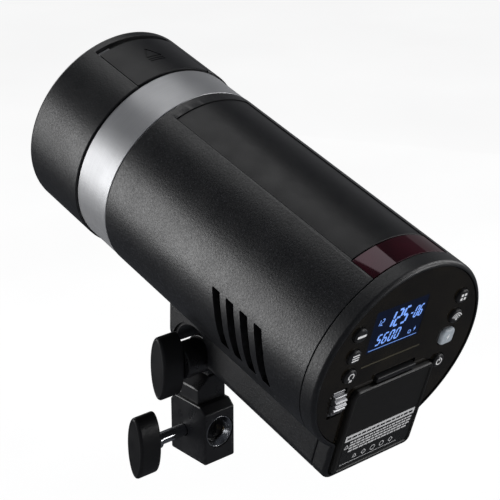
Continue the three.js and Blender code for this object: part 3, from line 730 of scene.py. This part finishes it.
def build_bezel():
    low, high = span("bezel")
    shell = loft(head_outline(), soft_layers(low.y, high.y, BEZEL_REAR_EDGE, BEZEL_FRONT_EDGE, 6))
    mouth = prism(inset(head_outline(), BEZEL_WALL), -OVERCUT, high.y + OVERCUT)
    piece("bezel_rim", soften(carve(shell, mouth), 0.3), BEZEL_PAINT, "bezel")


def plate_on_tube(node, edge):
    """Curved plate with soft edges where a CAD plate lies on the tube."""
    low, high = span(node)
    inner = reach_of(node)[0]
    return prism(arch(inner, high.z, half_angle(node)), low.y, high.y, "Y", edge, 3)


def build_top_plates():
    piece("smooth_top_strip", plate_on_tube("top_strip", 0.25), SATIN, "top_strip")
    piece("red_sensor_window", plate_on_tube("sensor_window", 0.12), WINDOW, "sensor_window")


# ======== head: rear panel

PANEL_INSET = 2.3
LATCH_TRAVEL = 1.2
PANEL_THROUGH = (-OVERCUT, 2 * OVERCUT)
RULE_LEFT, RULE_RIGHT, RULE_LOW, RULE_HIGH = -21.5, 11.0, 2.3, 3.0
ROUND_BUTTONS = [name + "_button" for name in ("mode", "menu", "lamp", "group", "wireless", "power")]
KEY_CORNER = 1.9
DIAL_RIBS, RIB_DEPTH = 20, 0.95
ICON_SCALE = 1.2
PROUD = 0.05             # how far print stands out of a face


def face_radius(node):
    """Radius of a round button's face, from the vertices nearest the user."""
    points = points_of(node)
    face = min(p.y for p in points)
    across = [p.x for p in points if p.y < face + SAME_PLACE]
    return (max(across) - min(across)) / 2


def around(low, high, margin=0.0, corner=0.6, steps=6):
    """Rounded rectangle round a box seen from behind."""
    return rectangle(low.x - margin, high.x + margin, low.z - margin, high.z + margin, corner, steps)


def opening(low, high, margin, corner=0.6):
    """Cutter for an opening in the panel round a box."""
    return prism(around(low, high, margin, corner), *PANEL_THROUGH)


def round_opening(node):
    return rod(face_radius(node) + GAP, *PANEL_THROUGH, "Y", centre_of(node).xz)


def build_panel():
    low, high = span("rear_panel")
    plate = prism(inset(head_outline(), PANEL_INSET), low.y, high.y, "Y", 0.15, 2)
    battery_low, battery_high = span("battery")
    battery_low.z = KEEL_BOTTOM - 9
    latch_low, latch_high = span("battery_latch")
    latch_high.z += LATCH_TRAVEL
    dial_low, dial_high = span("dial_wheel")
    hidden_rim = Vector((0, 0, 1))
    holes = [
        opening(battery_low, battery_high, 0.6, 3.4),
        opening(latch_low, latch_high, 0.4),
        opening(*span("screen_glass"), 0.05),
        opening(dial_low + hidden_rim, dial_high - hidden_rim, 0.6),
        opening(*span("test_button"), GAP, KEY_CORNER),
        *[round_opening(node) for node in ROUND_BUTTONS],
    ]
    piece("gloss_panel", soften(carve(plate, *holes), 0.12), PANEL, "rear_panel")
    rule = rectangle(RULE_LEFT, RULE_RIGHT, RULE_LOW, RULE_HIGH)
    mark("panel_rule", [rule], low.y - 0.04, low.y + 0.1, DIM_PRINT, "rear_panel")


# ---- the display: its lit strokes, and its rows of plain numbers in shares of its width and height
SEGMENTS = {"0": "abcdef", "1": "bc", "2": "abged", "5": "afgcd", "6": "afgedc", "-": "g"}
SEGMENT_ENDS = {
    "a": ((0, 1), (1, 1)), "b": ((1, 1), (1, 0.5)), "c": ((1, 0.5), (1, 0)), "d": ((0, 0), (1, 0)),
    "e": ((0, 0), (0, 0.5)), "f": ((0, 0.5), (0, 1)), "g": ((0, 0.5), (1, 0.5)),
}
DIGIT_SLANT, SEGMENT_TRIM = 0.22, 0.3
DISPLAY_ROWS = (
    # numbers, left, bottom, width, height, pitch, stroke in millimetres
    ("125", 0.26, 0.50, 0.085, 0.36, 0.138, 0.95),
    ("-06", 0.69, 0.53, 0.052, 0.25, 0.088, 0.6),
    ("5600", 0.14, 0.15, 0.068, 0.23, 0.118, 0.65),
    ("1", 0.07, 0.64, 0.03, 0.14, 0.1, 0.3),
    ("2", 0.13, 0.64, 0.04, 0.14, 0.1, 0.3),
)


def digit_bars(symbol, x, z, width, height, weight):
    """Strokes of one slanted seven-segment digit whose lower left corner is at x, z."""
    bars = []
    for name in SEGMENTS[symbol]:
        start, end = [
            Vector((x + u * width + v * height * DIGIT_SLANT, z + v * height)) for u, v in SEGMENT_ENDS[name]
        ]
        trim = (end - start).normalized() * weight * SEGMENT_TRIM
        bars.append(bar(start + trim, end - trim, weight))
    return bars


def build_screen():
    """Backlit display with rows of plain numbers, a ring, a bolt and a rule."""
    low, high = span("screen_glass")
    glass = prism(around(low, high, corner=0.5), low.y, high.y, "Y", 0.1, 2)
    piece("display_glass", glass, LCD_BACK, "screen_glass")
    width, height = high.x - low.x, high.z - low.z
    lit = []
    for text, left, bottom, across, up, pitch, weight in DISPLAY_ROWS:
        for i, symbol in enumerate(text):
            x = low.x + left * width + i * pitch * width
            lit += digit_bars(symbol, x, low.z + bottom * height, across * width, up * height, weight)
    ring_centre = (low.x + 0.80 * width, low.z + 0.17 * height)
    for start in range(0, 360, 45):
        lit += strokes(arc(0.8, start, start + 40, 1, ring_centre), 0.3)
    lit.append(bolt(low.x + 0.9 * width, low.z + 0.2 * height, 1.1))
    lit.append(rectangle(low.x + 1, high.x - 1, low.z + 1.0, low.z + 1.2))
    mark("display_digits", lit, low.y - PROUD, low.y + PROUD, LCD_DIGIT, "screen_glass")
    dress("screen_module", glowing("display_module", (0.01, 0.03, 0.12), 0.3))


def bolt(x, z, size):
    """Outline of a small lightning bolt."""
    shape = ((0.25, 1.0), (-0.5, -0.1), (-0.05, -0.1), (-0.3, -1.0), (0.5, 0.2), (0.05, 0.2))
    return [(x + u * size, z + v * size) for u, v in shape]


ICONS = {
    # plain generic pictures, in millimetres about the middle of a button
    "mode_button": [rectangle(-1.9, 1.9, -0.45, 0.45, 0.2)],
    "menu_button": [rectangle(-1.5, 1.5, z - 0.22, z + 0.22) for z in (-1.0, 0.0, 1.0)],
    "lamp_button": [
        *strokes(arc(1.15, -50, 230, 14, (0, 0.3)), 0.34),
        *[bar((-0.6, z), (0.6, z), 0.3) for z in (-1.2, -1.7)],
    ],
    "group_button": [rectangle(x, x + 1.0, z, z + 1.0, 0.15) for x in (-1.3, 0.3) for z in (-1.3, 0.3)],
    "wireless_button": [
        *[bow for radius in (0.9, 1.7, 2.5) for bow in strokes(arc(radius, 25, 155, 8, (0, -0.9)), 0.32)],
        circle(0.4, (0, -0.9), 12),
    ],
    "power_button": [*strokes(arc(1.25, 115, 425, 16), 0.36), bar((0, 0.3), (0, 1.8), 0.36)],
}


def build_round_button(node):
    """Button with a faintly dished face, a hidden flange and its icon."""
    low, high = span(node)
    x, z = centre_of(node).xz
    radius = face_radius(node)
    flange, step = (high.x - low.x) / 2, high.y - 0.9
    crown = lathe(rounded([
        (0, low.y + 0.12, 0), (radius - 1.1, low.y + 0.04, 0.6), (radius - 0.55, low.y, 0.3),
        (radius, low.y + 0.5, 0.3), (radius, step, 0), (flange, step, 0.1),
        (flange, high.y, 0.1), (0, high.y, 0),
    ], 4), centre=(x, z), steps=64)
    piece(node + "_cap", crown, KEYS, node)
    icon = [[(x + ICON_SCALE * u, z + ICON_SCALE * v) for u, v in outline] for outline in ICONS[node]]
    mark(node + "_icon", icon, low.y - 0.02, low.y + 0.22, PRINT, node)


def build_test_button():
    low, high = span("test_button")
    key = loft(around(low, high, 0.0, KEY_CORNER, 8), soft_layers(low.y, high.y, 1.0, 0.2, 5))
    piece("frosted_test_button", key, FROSTED_KEY, "test_button")
    icon = bolt(*centre_of("test_button").xz, 1.6)
    mark("test_button_bolt", [icon], low.y - 0.03, low.y + 0.12, PRINT, "test_button")


def build_dial():
    """Thumb wheel with rounded ribs across its rim."""
    low, high = span("dial_wheel")
    centre = centre_of("dial_wheel").yz
    radius = (high.z - low.z) / 2
    steps = 12 * DIAL_RIBS
    outline = []
    for i in range(steps):
        angle = 2 * math.pi * i / steps
        wave = 0.5 + 0.5 * math.cos(DIAL_RIBS * angle)
        reach = radius - RIB_DEPTH * (1 - wave ** 0.6)
        outline.append((centre[0] + reach * math.cos(angle), centre[1] + reach * math.sin(angle)))
    wheel = prism(outline, low.x, high.x, "X", 0.35, 3)
    hub = rod(1.3, low.x - OVERCUT, high.x + OVERCUT, "X", centre, steps=SMALL_ROUND)
    piece("ribbed_dial", carve(wheel, hub), DIAL, "dial_wheel")
    dress("dial_axle", STEEL)


# ======== head: battery

PLATE_RIM, PLATE_SUNK, PLATE_DEPTH = 1.5, 0.45, 2.9
PACK_SIDE, PACK_FOOT, PACK_CORNER = 0.7, 1.1, 4.0
LABEL_SIDE, LABEL_BAND = 0.3, 3.2
ROWS, ROW_START, ROW_PITCH, ROW_HALF, ROW_INDENT = 4, 4.6, 1.55, 0.42, 3.6
SYMBOL_SIDES, SYMBOL_START, SYMBOL_PITCH, SYMBOL_HEIGHT = (3, 4, 24, 6, 4), 8.5, 5.2, 3.6


def build_battery():
    """Pack with a proud end plate whose face is sunk inside a rim."""
    low, high = span("battery")
    body = rectangle(low.x + PACK_SIDE, high.x - PACK_SIDE, low.z + PACK_FOOT, high.z - GAP, PACK_CORNER)
    plate = around(low, high, 0.0, 3.2, 8)
    outer_edge = [(0.3, PLATE_DEPTH), (0.0, 2.6), (0.0, 0.9), (0.15, 0.4), (0.45, 0.1), (0.8, 0.0)]
    inner_edge = [(PLATE_RIM, 0.0), (PLATE_RIM + 0.25, 0.12), (PLATE_RIM + 0.45, PLATE_SUNK)]
    face = loft(plate, [(depth, low.y + y) for depth, y in outer_edge + inner_edge])
    pack = prism(body, low.y + 2.0, high.y, "Y", 0.5)
    piece("battery_pack", join(face, pack), BATTERY, "battery")
    build_label(low.y + PLATE_SUNK)


def words(source, start, end, shortest, longest, gap):
    """Lengths of unreadable words that fill a row, as (left, right)."""
    while start < end:
        length = source.uniform(shortest, longest)
        yield start, start + length
        start += length + gap


def build_label(face):
    """Label with a pale heading band, rows of unreadable print and plain symbols."""
    low, high = span("battery_label")
    left, right, top, bottom = low.x + LABEL_SIDE, high.x - LABEL_SIDE, high.z, low.z
    sheet = prism(rectangle(left, right, bottom, top, 0.4), face - 0.08, face + 0.1)
    piece("label_film", sheet, LABEL, "battery_label")
    band = rectangle(left, right, top - LABEL_BAND, top, 0.3)
    mark("label_band", [band], face - 0.1, face, GREY_PRINT, "battery_label")
    source = random.Random(7)
    marks = []
    for row in range(ROWS):
        z = top - ROW_START - ROW_PITCH * row
        for start, end in words(source, left + ROW_INDENT, right - 2, 0.8, 3.4, 0.45):
            marks.append(rectangle(start, min(end, right - 0.6), z - ROW_HALF, z + ROW_HALF))
    for i, sides in enumerate(SYMBOL_SIDES):
        centre = (left + SYMBOL_START + SYMBOL_PITCH * i, bottom + SYMBOL_HEIGHT)
        marks += strokes(arc(1.25, 90, 450, sides, centre), 0.3)
    marks.append(rectangle(left + 0.8, right - 6, bottom + 1.1, bottom + 1.3))
    marks += strokes(arc(1.3, 90, 450, 3, (left + 1.9, top - 6.4)), 0.3)
    mark("label_print", marks, face - 0.11, face, GREY_PRINT, "battery_label")
    heading = [
        rectangle(start, end, top - 2.2, top - 1.2)
        for start, end in words(source, left + 1.0, right - 3, 1.0, 3.0, 0.5)
    ]
    mark("label_heading", heading, face - 0.13, face, LABEL, "battery_label")


def build_battery_latch():
    low, high = span("battery_latch")
    key = prism(around(low, high, corner=0.7), low.y, high.y, "Y", 0.4)
    piece("battery_release", key, SATIN, "battery_latch")
    dress("battery_contacts", BRASS)


# ======== head: nose

CAP_WALL, CAP_FACE, CAP_EDGE = 3.1, 2.6, 1.8
LATCH_SEAT, SLOT_GLINT_TOP, LATCH_PLATE, LATCH_SLOT = 1.9, 1.75, 1.6, 3.1
ARROW_X, ARROW_Y, ARROW_SIZE, ARROW_STROKE, ARROW_DEPTH = -1.5, 1.5, 4.2, 0.65, 0.35
MOUNT_LIP, MOUNT_GROOVE = 33, 1.9
DISH_FLOOR, DISH_RIM, DISH_WALL = 12, 1.4, 1.8
DOME_SLOPE, DOME_START, DOME_WALL = 0.32, 18.3, 1.6


def build_silver_ring():
    low, high = span("silver_ring")
    inner, outer = reach_of("silver_ring")
    band = rounded([
        (inner, low.y, 0.2), (outer, low.y, 0.45), (outer, high.y, 0.45), (inner, high.y, 0.2),
    ], 4)
    piece("turned_silver_ring", lathe(band), SILVER, "silver_ring")


def build_cap():
    """Front cap with the slot that its latch plate slides in."""
    low, high = span("front_cap")
    outer, inner, floor = high.x, high.x - CAP_WALL, high.y - CAP_FACE
    shell = lathe(rounded([
        (0, floor, 0), (inner, floor, 1.2), (inner, low.y, 0.2), (outer, low.y, 0.35),
        (outer, high.y, CAP_EDGE), (0, high.y, 0),
    ], 6))
    latch_high = span("cap_latch")[1]
    half = half_angle("cap_latch") + SEAT_PLAY
    slot_outline = arch(latch_high.z - LATCH_SEAT, outer + OVERCUT, half)
    slot = prism(slot_outline, low.y - OVERCUT, latch_high.y + LATCH_SLOT)
    piece("satin_cap", soften(carve(shell, slot), 0.2), CAP_PAINT, "front_cap")
    # Painted highlight: a pale grey patch on the slot floor at the slot's end stands in for a glint, not a
    # real part.
    slot_glint = arch(latch_high.z - LATCH_SEAT, latch_high.z - SLOT_GLINT_TOP, 4.0, 8, 90 + half - 4.6)
    glint_front = latch_high.y + LATCH_SLOT - 0.2
    mark("latch_slot_glint", [slot_glint], latch_high.y - 1, glint_front, GREY_PRINT, "front_cap")


def build_cap_latch():
    """Slide plate with an engraved arrow pointing the way it moves."""
    low, high = span("cap_latch")
    outer = high.z
    plate = prism(arch(outer - LATCH_PLATE, outer, half_angle("cap_latch")), low.y, high.y, "Y", 0.2, 2)
    x, y = ARROW_X, middle([low.y, high.y]) + ARROW_Y
    left, right = x - ARROW_SIZE * 0.95, x + ARROW_SIZE * 0.95
    foot = y - ARROW_SIZE * 0.55
    arrow = strokes([(x, y + ARROW_SIZE), (left, foot), (right, foot), (x, y + ARROW_SIZE)], ARROW_STROKE)
    for drop in (0.95, 1.3):
        line = y - ARROW_SIZE * drop
        arrow.append(bar((left, line), (right, line), ARROW_STROKE))
    skin = arch(outer - ARROW_DEPTH, outer + OVERCUT, 12, 16)
    for outline in arrow:
        cutter = prism(outline, outer - 3, outer + 1, "Z")
        plate = carve(plate, combine(cutter, [prism(skin, low.y, high.y)], "INTERSECT"))
    piece("cap_slide_plate", plate, SATIN, "cap_latch")


def build_mount():
    """Accessory ring with a groove round it."""
    low, high = span("mount_ring")
    inner, outer = reach_of("mount_ring")
    groove = outer - MOUNT_GROOVE
    profile = rounded([
        (inner, low.y, 0.2), (outer, low.y, 0.3), (outer, high.y - 8, 0.3), (groove, high.y - 7, 0.3),
        (groove, high.y - 3.6, 0.3), (outer, high.y - 3, 0.3), (outer, high.y, 0.4),
        (MOUNT_LIP, high.y, 0.4), (inner, high.y - 2, 0.3),
    ], 3)
    anodised = surface(
        "black_anodised", (0.012, 0.012, 0.013), (0.02, 0.02, 0.022), 0.32, 0.05, metallic=0.7, depth=0.01)
    piece("bayonet_mount", lathe(profile), anodised, "mount_ring")


def build_reflector():
    low, high = span("reflector")
    rim, floor, wall = high.x - DISH_RIM, high.y - DISH_RIM, low.y + DISH_WALL
    profile = rounded([
        (0, low.y, 0), (DISH_FLOOR, low.y, 1), (high.x, floor, 0.4), (high.x, high.y, 0.3),
        (rim, high.y, 0.4), (DISH_FLOOR, wall, 2), (0, wall, 0),
    ], 4)
    mirror = surface(
        "bright_reflector", (0.78, 0.78, 0.79), (0.86, 0.86, 0.87), 0.16, 0.05,
        metallic=1.0, grain=2.5, depth=0.08)
    piece("bright_dish", lathe(profile), mirror, "reflector")


def build_flash_tube():
    low, high = span("flash_tube")
    section = (high.y - low.y) / 2
    ring = circle(section, (high.x - section, middle([low.y, high.y])), SMALL_ROUND)
    glass = clear_glass("tube_glass", (0.9, 0.94, 0.98), 0.03)
    piece("flash_tube_ring", lathe(ring, steps=MEDIUM_ROUND), glass, "flash_tube")


def build_dome():
    high = span("glass_dome")[1]
    radius = high.x / math.cos(DOME_SLOPE)
    centre = high.y - radius
    outside = arc(radius, DOME_START, 90, 24, (0, centre))
    inside = arc(radius - DOME_WALL, 90, DOME_START, 24, (0, centre))
    outside[-1] = (0.0, outside[-1][1])
    inside[0] = (0.0, inside[0][1])
    glass = clear_glass("frosted_glass", (0.94, 0.96, 0.97), 0.42)
    piece("frosted_dome", lathe(inside + outside), glass, "glass_dome")


def dress_inside():
    """Finishes of the inner CAD pieces, which keep their shapes."""
    ceramic = surface("ceramic", (0.72, 0.69, 0.62), (0.8, 0.77, 0.7), 0.5, grain=1.0)
    phosphor = surface("phosphor", (0.75, 0.55, 0.12), (0.85, 0.68, 0.22), 0.35, grain=0.9)
    sleeve = surface("capacitor_sleeve", (0.01, 0.025, 0.09), (0.015, 0.035, 0.12), 0.3, grain=2.0)
    moulding = surface("fan_moulding", (0.012, 0.012, 0.013), (0.02, 0.02, 0.021), 0.42)
    for material, nodes in (
        (ceramic, ("tube_socket",)),
        (phosphor, ("modelling_lamp",)),
        (circuit_board("green_board"), ("control_board", "main_board", "sensor_board")),
        (sleeve, ("capacitor_left", "capacitor_right")),
        (moulding, ("fan_frame", "fan_rotor")),
        (perforated("vent_sheet"), ("vent_screen_left", "vent_screen_right")),
    ):
        for node in nodes:
            dress(node, material)


# ======== bracket

NECK_LEFT, NECK_HALF_Y, NECK_FOOT, NECK_SHOULDER, NECK_TOP = -7.2, 6.4, 24.0, 34.5, 39.5
STALK_LEFT, STALK_RIGHT, STALK_HALF_Y = -1.0, 8.1, 5.5
BLOCK_CHAMFER, BLOCK_HALF_X, BLOCK_HALF_Y, BLOCK_TOP = 3.2, 8.4, 12.0, 27.7
SOCKET_RADIUS, SOCKET_DEPTH = 6.35, 22.0
UMBRELLA_HEIGHT, UMBRELLA_BORE, BUSH_SEAT, BUSH_LENGTH = 14.3, 5.2, 7.5, 4.5
LOCK_BORE, LOCK_Y, LOCK_Z = 3.1, 3.0, 12.3
CASTING_EDGE, SHOULDER_ROUND = 0.8, 1.5
KNOB_BORE_DEPTH, LOCK_SHAFT, LOCK_HUB_LENGTH = 6.6, 2.8, 2.1


def build_block():
    """Casting: block with its holes, neck, stalk and the ear that the head turns on."""
    pivot_z = joint("lamp_tilt")["pos_m"][2] / MM
    shoulder, slope = BLOCK_TOP - BLOCK_CHAMFER, BLOCK_HALF_Y - BLOCK_CHAMFER
    profile = rounded([
        (-BLOCK_HALF_Y, 0, 0.9), (BLOCK_HALF_Y, 0, 0.9), (BLOCK_HALF_Y, shoulder, 1.0),
        (slope, BLOCK_TOP, 1.0), (-slope, BLOCK_TOP, 1.0), (-BLOCK_HALF_Y, shoulder, 1.0),
    ], 3)
    block = prism(profile, -BLOCK_HALF_X, BLOCK_HALF_X, "X", CASTING_EDGE, 4)
    neck = prism(rounded([
        (NECK_LEFT, NECK_FOOT, 0), (STALK_RIGHT, NECK_FOOT, 0), (STALK_RIGHT, NECK_TOP, 0.9),
        (STALK_LEFT, NECK_TOP, SHOULDER_ROUND), (NECK_LEFT, NECK_SHOULDER, SHOULDER_ROUND),
    ]), -NECK_HALF_Y, NECK_HALF_Y, "Y", CASTING_EDGE)
    stalk = prism(rectangle(-STALK_HALF_Y, STALK_HALF_Y, NECK_FOOT, pivot_z), STALK_LEFT, STALK_RIGHT, "X")
    ear = rod(EAR_RADIUS, STALK_LEFT, STALK_RIGHT, "X", (0, pivot_z), 0.5)
    far = BLOCK_HALF_Y + OVERCUT
    hole = (0, UMBRELLA_HEIGHT)
    shape = carve(
        join(block, neck, stalk, ear),
        rod(PIVOT_BORE, STALK_LEFT - OVERCUT, STALK_RIGHT + OVERCUT, "X", (0, pivot_z)),
        rod(UMBRELLA_BORE, -far, far, "Y", hole),
        rod(BUSH_SEAT, -far, -BLOCK_HALF_Y + BUSH_LENGTH, "Y", hole),
        rod(BUSH_SEAT, BLOCK_HALF_Y - BUSH_LENGTH, far, "Y", hole),
        rod(SOCKET_RADIUS, -OVERCUT, SOCKET_DEPTH, "Z"),
        rod(LOCK_BORE, -BLOCK_HALF_X - OVERCUT, 0, "X", (LOCK_Y, LOCK_Z)),
    )
    piece("bracket_casting", soften(shape, 0.3), COATED, "bracket_block", BRACKET)


def build_bush(node, side):
    """Liner of one mouth of the umbrella hole, flared outwards."""
    low, high = span(node, BRACKET)
    radius = (high.x - low.x) / 2
    mouth, inner_end = (low.y, high.y) if side < 0 else (high.y, low.y)
    throat = UMBRELLA_BORE + GAP
    profile = rounded([
        (throat, inner_end, 0), (radius, inner_end, 0.2), (radius, mouth, 0.15),
        (radius - 0.35, mouth, 0.1), (throat, inner_end + side * 1.0, 0.3),
    ], 4)
    piece(node + "_liner", lathe(profile, centre=(0, UMBRELLA_HEIGHT)), LINER, node, BRACKET)


def build_knob(node, screw_radius):
    """Oval wing knob with a soft rim and a faintly dished outer face."""
    low, high = span(node, BRACKET)
    y, z = centre_of(node, BRACKET).yz
    half_y, half_z = (high.y - low.y) / 2, (high.z - low.z) / 2
    outline = [(y + u * half_y, z + v * half_z) for u, v in circle(1.0)]
    dish = [(1.75, low.x + 0.14), (1.55, low.x + 0.03)]
    solid = loft(outline, dish + soft_layers(low.x, high.x, 1.3, 1.1, 6), "X")
    bore = rod(screw_radius + GAP, high.x - KNOB_BORE_DEPTH, high.x + OVERCUT, "X", (y, z), steps=48)
    piece("wing_" + node, carve(solid, bore), RUBBER, node, BRACKET)


def build_screws():
    """Stand lock's screw with its hub, and the tilt lock's spacer."""
    low, high = span("lock_screw", BRACKET)
    hub = (high.z - low.z) / 2
    start = span("lock_knob", BRACKET)[1].x + GAP
    end = start + LOCK_HUB_LENGTH
    shaft = rounded([
        (0, low.x, 0), (LOCK_SHAFT, low.x, 0.2), (LOCK_SHAFT, start, 0), (hub, start, 0.3),
        (hub, end, 0.4), (LOCK_SHAFT, end, 0.1), (LOCK_SHAFT, high.x, 0.5), (0, high.x, 0),
    ], 4)
    screw = lathe(shaft, "X", (LOCK_Y, LOCK_Z), MEDIUM_ROUND)
    piece("lock_screw_shaft", screw, STEEL, "lock_screw", BRACKET)
    low, high = span("tilt_spacer", BRACKET)
    centre = centre_of("tilt_spacer", BRACKET).yz
    radius, bore = (high.z - low.z) / 2, PIVOT_BORE - 0.1
    sleeve = rounded([
        (bore, low.x, 0.2), (radius, low.x, 0.6), (radius, high.x, 0.6), (bore, high.x, 0.2),
    ], 4)
    spacer = lathe(sleeve, "X", centre, MEDIUM_ROUND)
    piece("tilt_spacer_sleeve", spacer, COATED, "tilt_spacer", BRACKET)
    dress("tilt_screw", STEEL)
    dress("lock_pad", BRASS)


# ======== light, floor and camera

TUBE_MIDDLE = HEAD @ (Vector((0, 90, 0)) * MM)
BLOCK_REAR = Vector((0, -10, 20)) * MM
LIGHTS = (
    # name, direction, distance and size in metres, watts, and the target unless it is the tube
    ("left_soft_box", (-0.78, 0.61, 0.02), 1.0, (0.42, 0.66), 3.4),
    ("top_soft_box", (0.12, 0.36, 0.92), 1.1, (0.78, 0.50), 1.35),
    ("right_fill", (0.85, 0.50, 0.05), 1.4, (0.8, 1.1), 0.35),
    ("rear_fill", (0.57, -0.55, 0.61), 1.3, (0.6, 0.55), 3.0),
    ("low_kicker", (0.60, -0.78, 0.10), 0.9, (0.26, 0.30), 1.3, BLOCK_REAR),
    ("right_side_fill", (0.93, -0.22, 0.30), 1.5, (0.5, 1.0), 5.0),
    ("front_fill", (0.15, 0.92, 0.36), 1.6, (1.0, 0.8), 4.0),
)
DIM_ROOM, PALE_ROOM = (0.052, 0.055, 0.063), (0.95, 0.95, 0.95)
FLOOR_HALF, FLOOR_THICKNESS, FLOOR_GLOW = 12000.0, 20, 0.92


def area_light(name, direction, distance, size, power, target=TUBE_MIDDLE):
    """Soft box that faces a point from a direction."""
    light = bpy.data.lights.new(name, "AREA")
    light.shape = "RECTANGLE"
    light.size, light.size_y = size
    light.energy = power
    direction = Vector(direction).normalized()
    obj = add_object(name, light)
    obj.location = target + direction * distance
    obj.rotation_euler = direction.to_track_quat("Z", "Y").to_euler()


def build_world():
    """Pale surroundings for the camera, a dim room for the reflections."""
    world = bpy.data.worlds.new("studio")
    world.use_nodes = True
    tree = world.node_tree
    path = tree.nodes.new("ShaderNodeLightPath")
    colour = mix_colour(path.outputs["Is Camera Ray"], DIM_ROOM, PALE_ROOM)
    tree.links.new(colour, tree.nodes["Background"].inputs["Color"])
    bpy.context.scene.world = world


def build_floor():
    """Wide pale floor, below the hanging bracket where the stand would be."""
    material, shader, place = new_material("pale_floor")
    cloud = noise(place, 260, 3.0)
    two_tone(shader, cloud, (0.15, 0.15, 0.15), (0.18, 0.18, 0.18))
    two_tone(shader, cloud, (0.98, 0.98, 0.98), (1, 1, 1), socket="Emission Color")
    shader.inputs["Roughness"].default_value = 0.9
    shader.inputs["Emission Strength"].default_value = FLOOR_GLOW
    outline = rectangle(-FLOOR_HALF, FLOOR_HALF, -FLOOR_HALF, FLOOR_HALF)
    mesh = mesh_of(prism(outline, -FLOOR_THICKNESS, 0, "Z"), "floor")
    mesh.transform(Matrix.Scale(MM, 4))
    mesh.materials.append(material)
    floor = add_object("floor", mesh)
    floor.location = (0, 0, CAD_BOX[0][2] - FLOOR_DROP)
    floor.visible_glossy = False


def build_camera():
    pivot = Vector(joint("lamp_tilt")["pos_m"])
    camera = bpy.data.cameras.new("camera")
    camera.lens = CAMERA_LENS
    camera.sensor_width = SENSOR_WIDTH
    obj = add_object("camera", camera)
    direction = CAMERA_DIRECTION.normalized()
    obj.location = pivot + CAMERA_AIM_FROM_PIVOT - direction * CAMERA_DISTANCE
    obj.rotation_euler = direction.to_track_quat("-Z", "Y").to_euler()
    bpy.context.scene.camera = obj


def build_head():
    build_housing()
    build_bezel()
    build_top_plates()
    build_panel()
    build_screen()
    for node in ROUND_BUTTONS:
        build_round_button(node)
    build_test_button()
    build_dial()
    build_battery()
    build_battery_latch()
    build_silver_ring()
    build_cap()
    build_cap_latch()
    build_mount()
    build_reflector()
    build_flash_tube()
    build_dome()
    dress_inside()


def build_bracket():
    build_block()
    build_bush("umbrella_bush_rear", -1)
    build_bush("umbrella_bush_front", 1)
    build_knob("tilt_knob", 2.5)
    build_knob("lock_knob", LOCK_SHAFT)
    build_screws()


build_camera()
for light in LIGHTS:
    area_light(*light)
build_world()
build_floor()
build_head()
build_bracket()
bpy.context.scene.view_settings.view_transform = "Standard"
